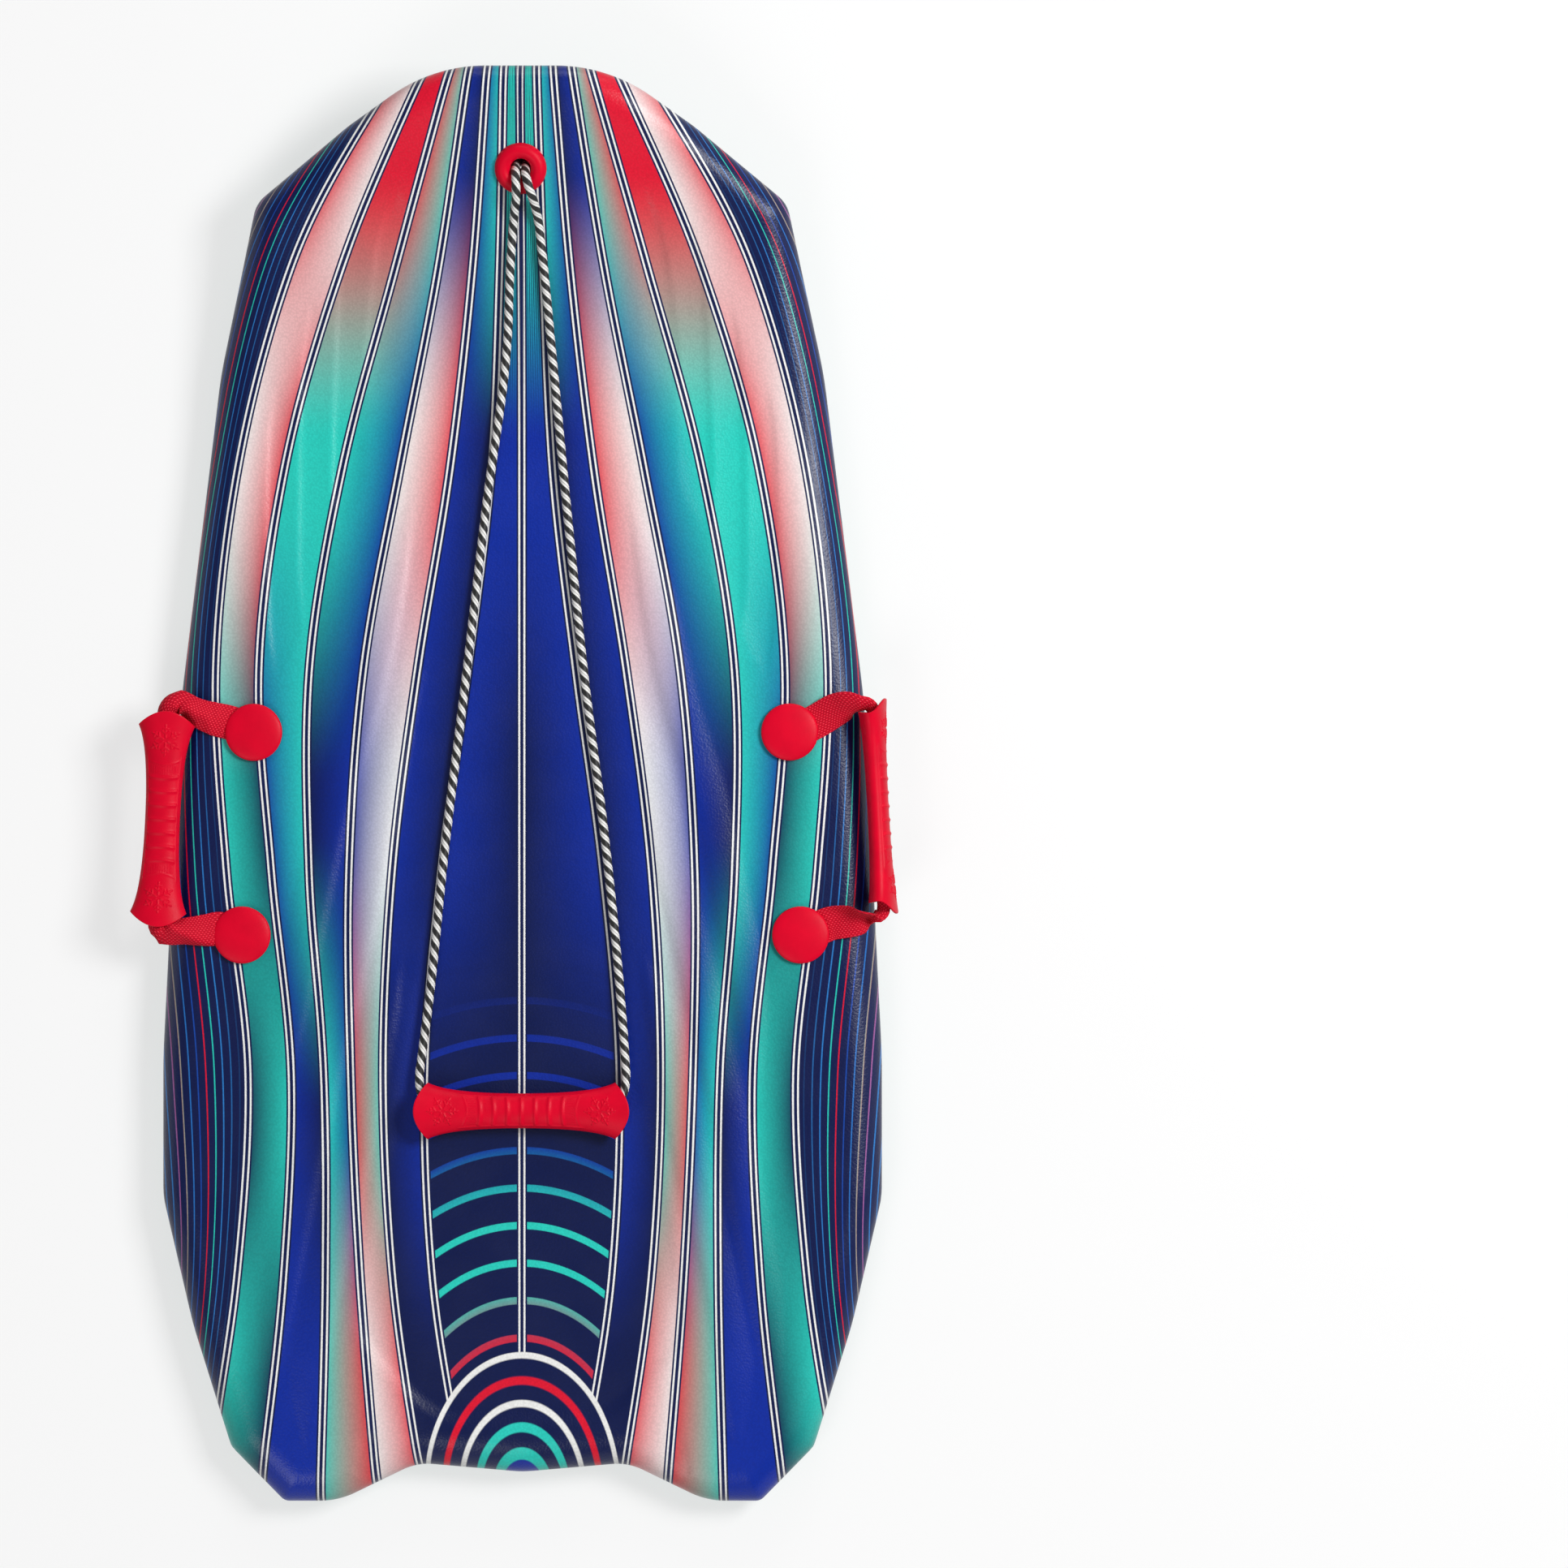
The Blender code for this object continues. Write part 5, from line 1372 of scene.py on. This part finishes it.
# Straps
def bent_band(width, thickness, chord_share, fold):
    """The webbing's section: a flat band with round edges, bent about a place so that it spans less."""
    half, round_off = width / 2 - thickness / 2, thickness / 2
    flat, turn = 2 * half, math.pi * round_off
    at = np.linspace(0, 2 * (flat + turn), STRAP_COLUMNS + 1)
    angle = np.clip(at - flat, 0, turn) / round_off + np.clip(at - 2 * flat - turn, 0, turn) / round_off
    place = np.clip(at, 0, flat) - np.clip(at - flat - turn, 0, flat) - half
    fine = np.linspace(-half, half, BAND_POINTS)
    weight = np.exp(-(((fine / half - fold) / STRAP_FOLD_SHARE) ** 2)) + EVEN_BEND
    bent = np.cumsum(weight) / weight.sum()
    for bend in np.arange(FIRST_BEND, LAST_BEND + BEND_STEP, BEND_STEP):
        slope = bend * (bent - 0.5)
        x = np.cumsum(np.cos(slope)) * (fine[1] - fine[0])
        z = -np.cumsum(np.sin(slope)) * (fine[1] - fine[0])
        if math.hypot(x[-1] - x[0], z[-1] - z[0]) <= chord_share * flat:
            break
    tilt = math.atan2(z[-1] - z[0], x[-1] - x[0])
    x, z = x - x.mean(), z - (z.max() + z.min()) / 2
    x, z = x * math.cos(tilt) + z * math.sin(tilt), z * math.cos(tilt) - x * math.sin(tilt)
    normal = math.pi / 2 - np.interp(place, fine, slope) - tilt - angle
    middle = np.stack([np.interp(place, fine, x), np.interp(place, fine, z)], axis=1)
    return middle + round_off * np.stack([np.cos(normal), np.sin(normal)], axis=1)


def strap_rows(board, shares, cap, mouth, inward, reach):
    """Rows of place, span, twist and fold from a cap to the grip's mouth and into its bore."""
    cap, mouth, outward = Vector((*cap, 0)), Vector((*mouth, 0)), -Vector((*inward, 0))
    along = (mouth - cap).dot(outward)
    across = mouth - cap - outward * along
    flat = deck_z(board) + GAP + bpy.context.scene.sled_handles.strap_thickness / 2
    grip_z = deck_z(board) + GRIP_AXIS_RISE
    rows = []
    for over, forward, past, rise, span, twist, fold in shares:
        point = cap + across * over + outward * (along * forward + reach * past)
        rows.append((point.x, point.y, flat + (grip_z - flat) * rise, span, twist * math.pi / 2, fold))
    return rows


def strap_piece(board, handles, name, sense, shares, caps, grip_ends, reach):
    """The webbing from cap to cap through a grip. One that twists goes half a turn in all."""
    front, rear = (Vector(end) for end in grip_ends)
    back = (rear - front).normalized()
    ahead = strap_rows(board, shares[0], caps[0], front, back, reach)
    behind = strap_rows(board, shares[1], caps[1], rear, -back, reach)
    whole = 2 * ahead[-1][4]
    behind = [(*row[:4], whole - row[4], -row[5]) for row in behind]
    line = even_line(ahead + behind[::-1], STRAP_STEP)
    ways = np.gradient(line[:, :3], axis=0)
    rings = []
    for row, way in zip(line, ways):
        way = Vector(way).normalized()
        level = way.cross(Vector((0, 0, 1))).normalized() * sense
        across = Matrix.Rotation(row[4] * sense, 3, way) @ level
        through = across.cross(way).normalized() * sense
        section = bent_band(handles.strap_width, handles.strap_thickness, row[3], row[5])
        rings.append([Vector(row[:3]) + across * u + through * v for u, v in section])
    rings = np.array(rings)
    ends = [np.repeat(rings[k].mean(axis=0)[None, None], STRAP_COLUMNS + 1, axis=1) for k in (0, -1)]
    length = np.linalg.norm(np.diff(line[:, :3], axis=0), axis=1).sum()
    return wrap_grid(name, np.concatenate([ends[0], rings, ends[1]])), length


# Grips
def grip_frame(board, ends, roll=0.0):
    """A grip's frame from the middles of its mouths, front first, rolled outwards about its length."""
    front, rear = (Vector((*end, deck_z(board) + GRIP_AXIS_RISE)) for end in ends)
    along = (front - rear).normalized()
    turn = Matrix.Rotation(math.atan2(-along.x, along.y), 4, "Z")
    return Matrix.Translation((front + rear) / 2) @ turn @ Matrix.Rotation(roll, 4, "Y")


def tow_grip_frame(board, handles):
    front, rear = DISH_CORNER_SHARES[0][1], DISH_CORNER_SHARES[-1][1]
    back = (front - TOW_GRIP_Y / (board.length / 2)) / (front - rear)
    sink = (board.dish_depth + TOW_GRIP_SINK) * back - TOW_GRIP_SINK
    place = (0, TOW_GRIP_Y, deck_z(board) - sink + handles.mouth_thickness / 2 + TOW_GRIP_RISE)
    return Matrix.Translation(place) @ Matrix.Rotation(math.pi / 2, 4, "Z")


def bar(points, start, end, half_width):
    """1 on a bar between two places in the plan, falling off softly at its sides."""
    way = end - start
    t = np.clip((points - start) @ way / (way @ way), 0, 1)
    away = np.linalg.norm(points - start - t[..., None] * way, axis=-1)
    return 1 - smooth_share(away, *(half_width * share for share in STAR_BAR_EDGE_SHARES))


def star(points):
    """A plain six-armed star of raised bars, each arm with a cross-piece and a fork."""
    height = np.zeros(points.shape[:-1])
    for turn in np.radians(range(30, 390, 60)):
        arm = np.array(((math.cos(turn), math.sin(turn)), (-math.sin(turn), math.cos(turn))))
        for start, end in np.array(STAR_BARS) @ arm:
            height = np.maximum(height, bar(points, start, end, STAR_BAR_HALF_WIDTH))
    return height


def ridge(away, half_width):
    return np.exp(-((away / half_width) ** 2))


def grip_relief(handles, x, y, half):
    """Height of the face's ribs, side rails, end arcs and stars."""
    share = x / half
    on_face = 1 - smooth_share(np.abs(share), *FACE_EDGE_SHARES)
    side = RAIL_HEIGHT * ridge((np.abs(share) - RAIL_SHARE) * half, LINE_HALF_WIDTH)
    end = END_ARC_HEIGHT * ridge(np.abs(y) - END_ARC_Y - END_ARC_BOW * share**2, LINE_HALF_WIDTH)
    height = np.maximum(side * (1 - smooth_share(np.abs(y), *RAIL_END)), end * on_face)
    for k in range(-(RIB_COUNT // 2), RIB_COUNT // 2 + 1):
        away = y - k * (handles.rib_pitch + RIB_BOW * share**2)
        height = np.maximum(height, handles.rib_height * ridge(away, RIB_HALF_WIDTH) * on_face)
    for side in (-1, 1):
        spot = np.stack([x, y - side * STAR_Y], axis=-1)
        near = np.linalg.norm(spot, axis=-1) < STAR_FIELD_RADIUS
        height[near] = np.maximum(height[near], STAR_HEIGHT * star(spot[near]))
    return height


def grip_rings(handles, shares, wall, angles):
    """Rings of the grip at shares of its half length, a wall's depth under its surface."""
    flare = np.abs(shares) ** GRIP_FLARE_POWER
    width = handles.waist_width + (handles.mouth_width - handles.waist_width) * flare
    thick = handles.waist_thickness + (handles.mouth_thickness - handles.waist_thickness) * flare
    bow = np.maximum(0, 2 * np.abs(shares) - 1) ** 2
    half_width, half_thick = (width / 2)[:, None] - wall, (thick / 2)[:, None] - wall
    x = np.cos(angles)[None] * half_width
    z = np.sin(angles)[None] * half_thick
    side = np.where(np.sin(angles) > 0, np.cos(angles) ** 2, 1 - GRIP_BACK_SHARE * np.sin(angles) ** 2)
    drop = GRIP_END_DROP * bow[:, None] * side[None]
    y = np.sign(shares)[:, None] * (np.abs(shares)[:, None] * handles.grip_length / 2 - drop)
    return x, y, z, half_width


def grip_lip(handles, end, angles):
    """Rings round the lip of the mouth at one end, -1 or 1, from the outside to the bore."""
    rings = []
    for turn in np.linspace(0, math.pi, GRIP_LIP_STEPS + 2)[1:-1]:
        depth = GRIP_WALL / 2 * (1 - math.cos(turn))
        x, y, z, _ = grip_rings(handles, np.array([float(end)]), depth, angles)
        rings.append(np.stack([x, y + end * GRIP_LIP_BULGE * math.sin(turn), z], axis=-1)[0])
    return np.array(rings)


def grip_piece(handles):
    """A hollow grip that lies along Y with its ribbed face up, its middle at the origin."""
    back = np.linspace(math.pi, 2 * math.pi, GRIP_BACK_COLUMNS + 1)[1:]
    angles = np.concatenate([np.linspace(0, math.pi, GRIP_FACE_COLUMNS + 1), back])
    half_length = handles.grip_length / 2
    rows = [
        np.arange(0, RIBBED_END, RIBBED_STEP),
        np.arange(RIBBED_END, STARRED_END, STARRED_STEP),
        np.linspace(STARRED_END, half_length, MOUTH_ROWS),
    ]
    rows = np.concatenate(rows)
    shares = np.concatenate([rows[::-1], -rows[1:]]) / half_length
    x, y, z, half_width = grip_rings(handles, shares, 0.0, angles)
    facing = np.sin(angles)[None]
    lift = grip_relief(handles, x, y, half_width) * smooth_share(facing, *FACE_FADE_SHARES)
    outer = np.stack([x + np.cos(angles)[None] * lift, y, z + facing * lift], axis=-1)
    bore = grip_rings(handles, np.linspace(-1, 1, GRIP_BORE_ROWS + 1), GRIP_WALL, angles)
    bore = np.stack(bore[:3], axis=-1)
    lips = grip_lip(handles, -1, angles), grip_lip(handles, 1, angles)[::-1]
    grip = wrap_grid("grip_model", np.concatenate([outer, lips[0], bore, lips[1], outer[:1]]))
    x, y, z = get_places(grip.data).T
    set_uv_maps(grip.data, {"grip": (np.where(z > 0, x, OFF_THE_FACE), np.abs(y))})
    return smooth(grip)


# Operators
class SLED_OT_stage(bpy.types.Operator):
    """Lays the floor, sets the soft studio lamps and places the camera straight over the sled"""

    bl_idname = "sled.stage"
    bl_label = "Floor, lamps and camera"

    def execute(self, context):
        stage = context.scene.sled_stage
        self.lay_floor(stage)
        self.make_world(context, stage)
        self.hang_lamps(context, stage)
        self.place_camera(context)
        context.scene.view_settings.view_transform = "Standard"
        return {"FINISHED"}

    def lay_floor(self, stage):
        """Matt grey paper that keeps the sled's shadow, and that the camera sees as nearly white."""
        deselect_all()
        bpy.ops.mesh.primitive_plane_add(size=stage.floor_size)
        floor = bpy.context.object
        floor.name = "studio_floor"
        material, shader, add = new_material("studio_floor")
        rays = add("LightPath").node.outputs
        seen = add("Math", [rays["Is Camera Ray"], rays["Is Glossy Ray"]], operation="MAXIMUM")
        seen = add("Math", [seen, rays["Is Transmission Ray"]], operation="MAXIMUM")
        paper = {0: seen, FIRST: linear("#8E8E8E"), SECOND: linear("#F6F6F6")}
        ground = add("Mix", paper, MIXED, data_type="RGBA")
        connect(shader, {"Base Color": ground, "Roughness": 0.9, "Specular IOR Level": 0.0})
        share = add("Math", [seen, FLOOR_GLOW], operation="MULTIPLY")
        glow = add("Emission", {"Color": WHITE, "Strength": 1.0})
        mix = add("MixShader", [share, shader.outputs[0], glow])
        connect(material.node_tree.nodes["Material Output"], {"Surface": mix})
        floor.data.materials.append(material)

    def make_world(self, context, stage):
        """An even grey sky, which the camera, and reflections near the horizon, see as white."""
        world = bpy.data.worlds.new("studio")
        context.scene.world = world
        world.use_nodes = True
        nodes, add = world.node_tree.nodes, functools.partial(add_node, world.node_tree)
        rays = add("LightPath").node.outputs
        height = add("SeparateXYZ", [add("TexCoord", output="Generated")], 2)
        seen = add("Math", [rays["Is Glossy Ray"], mask(add, (height, 0.60, 0.25))], operation="MULTIPLY")
        for ray in ("Is Transmission Ray", "Is Camera Ray"):
            seen = add("Math", [seen, rays[ray]], operation="MAXIMUM")
        connect(nodes["Background"], {"Color": WHITE, "Strength": stage.sky})
        white = add("Background", {"Color": WHITE, "Strength": 1.0})
        mix = add("MixShader", [seen, nodes["Background"].outputs[0], white])
        connect(nodes["World Output"], {"Surface": mix})

    def hang_lamps(self, context, stage):
        for name, (place, side, setting) in LAMPS.items():
            bpy.ops.object.light_add(type="AREA", location=place)
            lamp = context.object
            lamp.name = name
            lamp.data.shape = "SQUARE"
            lamp.data.size = side
            lamp.data.energy = getattr(stage, setting)
            lamp.rotation_euler = (-Vector(place)).to_track_quat("-Z", "Y").to_euler()
            lamp.visible_camera = False

    def place_camera(self, context):
        height = deck_z(context.scene.sled_board) + PHOTO_WIDTH * LENS / SENSOR
        bpy.ops.object.camera_add(location=(VIEW_X, VIEW_Y, height), rotation=(0, 0, 0))
        camera = context.object
        camera.name = "photo_camera"
        camera.data.lens = LENS
        camera.data.sensor_width = SENSOR
        camera.data.clip_end = CAMERA_CLIP
        context.scene.camera = camera


class SLED_OT_rope(bpy.types.Operator):
    """Lays the tow rope from its knot through the grommet, down to the tow grip and back"""

    bl_idname = "sled.rope"
    bl_label = "Tow rope and knot"

    def execute(self, context):
        board, rope = context.scene.sled_board, context.scene.sled_rope
        line = even_line(rope_points(board), ROPE_STEP)
        cord, length = cord_tube("tow_rope_visual", line, rope.diameter / 2, rope.lay)
        dress(cord, braided_cord(rope, length / rope.lay, "braided_cord"), "cord", None, "tow_rope")
        smooth(cord, degrees=60)
        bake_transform(cord)
        self.tie_knot(board, rope)
        return {"FINISHED"}

    def tie_knot(self, board, rope):
        floor_z = tow_base_z(board) - TOW_BASE_CROWN + TOW_DISH_DEPTH
        place = tow_frame(board) @ Matrix.Translation((0, 0, floor_z))
        ends = []
        for k, run in enumerate(KNOT_RUNS):
            line = even_line([place @ Vector(point) for point in run], ROPE_STEP)
            end, length = cord_tube(f"rope_end_{k}", line, rope.diameter / 2 * KNOT_TIGHTNESS, rope.lay)
            dress(end, braided_cord(rope, length / rope.lay, f"knotted_cord_{k}"), "cord", None)
            ends.append(end)
        activate(ends[0])
        ends[1].select_set(True)
        bpy.ops.object.join()
        ends[0].name = ends[0].data.name = "rope_knot_visual"
        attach(ends[0], "board")
        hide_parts("rope_knot")
        smooth(ends[0], degrees=60)


class SLED_OT_board(bpy.types.Operator):
    """Shapes the deck's printed skin and the slick underside, and cuts the holes for the plugs"""

    bl_idname = "sled.board"
    bl_label = "Board"

    def execute(self, context):
        board = context.scene.sled_board
        deck = board_side(board, "deck_visual", board.deck_rail, 1, deck_relief)
        base = board_side(board, "underside_visual", board.base_rail, -1, base_relief)
        cutter = plug_cutters(board)
        for side in (deck, base):
            cut(side, cutter)
            smooth(side, degrees=50)
        bpy.data.objects.remove(cutter)
        map_print(board, deck.data)
        dress(deck, printed_foam(board), "deck_print", "board", "deck_skin", "foam_core")
        dress(base, slick_sheet(board), "slick", "board", "slick_base")
        return {"FINISHED"}


class SLED_OT_plugs(bpy.types.Operator):
    """Turns the strap plugs' caps, above and below, and the tow plug at the nose"""

    bl_idname = "sled.plugs"
    bl_label = "Caps and tow plug"

    def execute(self, context):
        board, plugs = context.scene.sled_board, context.scene.sled_plugs
        plastic = moulded_plastic(plugs)
        webbing_z = deck_z(board) + context.scene.sled_handles.strap_thickness + 2 * GAP
        models = {
            "deck_cap": (deck_cap(plugs, board), webbing_z),
            "base_cap": (base_cap(plugs, board), SLICK_Z + DIMPLE_DEPTH - GAP),
        }
        for place, middle in PLUG_PLACES.items():
            for kind, (model, height) in models.items():
                cap = copied(model, f"{kind}_{place}_visual", Matrix.Translation((*middle, height)))
                dress(cap, plastic, "red_plastic", "board", f"{kind}_{place}")
        for model, _ in models.values():
            bpy.data.objects.remove(model)
        dress(tow_plug_top(plugs, board), plastic, "red_plastic", "board", "tow_plug_top")
        dress(tow_plug_base(plugs, board), plastic, "red_plastic", "board", "tow_plug_base")
        return {"FINISHED"}


class SLED_OT_straps(bpy.types.Operator):
    """Runs the webbing from cap to cap through each side grip"""

    bl_idname = "sled.straps"
    bl_label = "Handle straps"

    def execute(self, context):
        board, handles = context.scene.sled_board, context.scene.sled_handles
        for side, sense, shares, *mouths in (
            ("left", -1, (LEFT_FRONT_STRAP, LEFT_REAR_STRAP), LEFT_GRIP_ENDS, LEFT_STRAP_REACH),
            ("right", 1, (RIGHT_FRONT_STRAP, RIGHT_REAR_STRAP), RIGHT_GRIP_ENDS, RIGHT_STRAP_REACH),
        ):
            caps = [PLUG_PLACES[f"{side}_{end}"] for end in ("front", "rear")]
            name = f"{side}_strap_visual"
            strap, length = strap_piece(board, handles, name, sense, shares, caps, *mouths)
            dress(strap, woven_webbing(handles, length), "red_webbing", None, f"{side}_strap")
            smooth(strap, degrees=60)
            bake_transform(strap)
        return {"FINISHED"}


class SLED_OT_grips(bpy.types.Operator):
    """Moulds the two side grips and the tow grip, with their ribs and star ornaments"""

    bl_idname = "sled.grips"
    bl_label = "Grips"

    def execute(self, context):
        board, handles = context.scene.sled_board, context.scene.sled_handles
        plastic = grip_plastic(context.scene.sled_plugs)
        model = grip_piece(handles)
        for name, place in (
            ("left_grip", grip_frame(board, LEFT_GRIP_ENDS)),
            ("right_grip", grip_frame(board, RIGHT_GRIP_ENDS, RIGHT_GRIP_ROLL)),
            ("tow_grip", tow_grip_frame(board, handles)),
        ):
            dress(copied(model, f"{name}_visual", place), plastic, "red_plastic", name, name)
        bpy.data.objects.remove(model)
        return {"FINISHED"}


class SLED_PT_panel(bpy.types.Panel):
    bl_idname = "SLED_PT_panel"
    bl_label = "Snow sled"
    bl_space_type = "VIEW_3D"
    bl_region_type = "UI"
    bl_category = "Snow sled"

    def draw(self, context):
        for group, operators in PANEL_ROWS.items():
            box = self.layout.box()
            for operator in operators:
                box.operator(operator.bl_idname)
            settings = getattr(context.scene, group)
            for field in settings.bl_rna.properties.keys():
                if field not in ("rna_type", "name"):
                    box.prop(settings, field)


PANEL_ROWS = {
    "sled_stage": (SLED_OT_stage,),
    "sled_rope": (SLED_OT_rope,),
    "sled_board": (SLED_OT_board,),
    "sled_plugs": (SLED_OT_plugs,),
    "sled_handles": (SLED_OT_straps, SLED_OT_grips),
}
SETTINGS = {
    "sled_board": SledBoardSettings,
    "sled_plugs": SledPlugSettings,
    "sled_handles": SledHandleSettings,
    "sled_rope": SledRopeSettings,
    "sled_stage": SledStageSettings,
}
OPERATORS = (SLED_OT_stage, SLED_OT_rope, SLED_OT_board, SLED_OT_plugs, SLED_OT_straps, SLED_OT_grips)


def register():
    for group in SETTINGS.values():
        bpy.utils.register_class(group)
    for name, group in SETTINGS.items():
        setattr(bpy.types.Scene, name, PointerProperty(type=group))
    for kind in (*OPERATORS, SLED_PT_panel):
        bpy.utils.register_class(kind)


def unregister():
    for kind in (SLED_PT_panel, *reversed(OPERATORS)):
        bpy.utils.unregister_class(kind)
    for name, group in SETTINGS.items():
        delattr(bpy.types.Scene, name)
        bpy.utils.unregister_class(group)


def main():
    register()
    bpy.ops.sled.stage()
    bpy.ops.sled.rope()
    bpy.ops.sled.board()
    bpy.ops.sled.plugs()
    bpy.ops.sled.straps()
    bpy.ops.sled.grips()


if __name__ == "__main__":
    main()
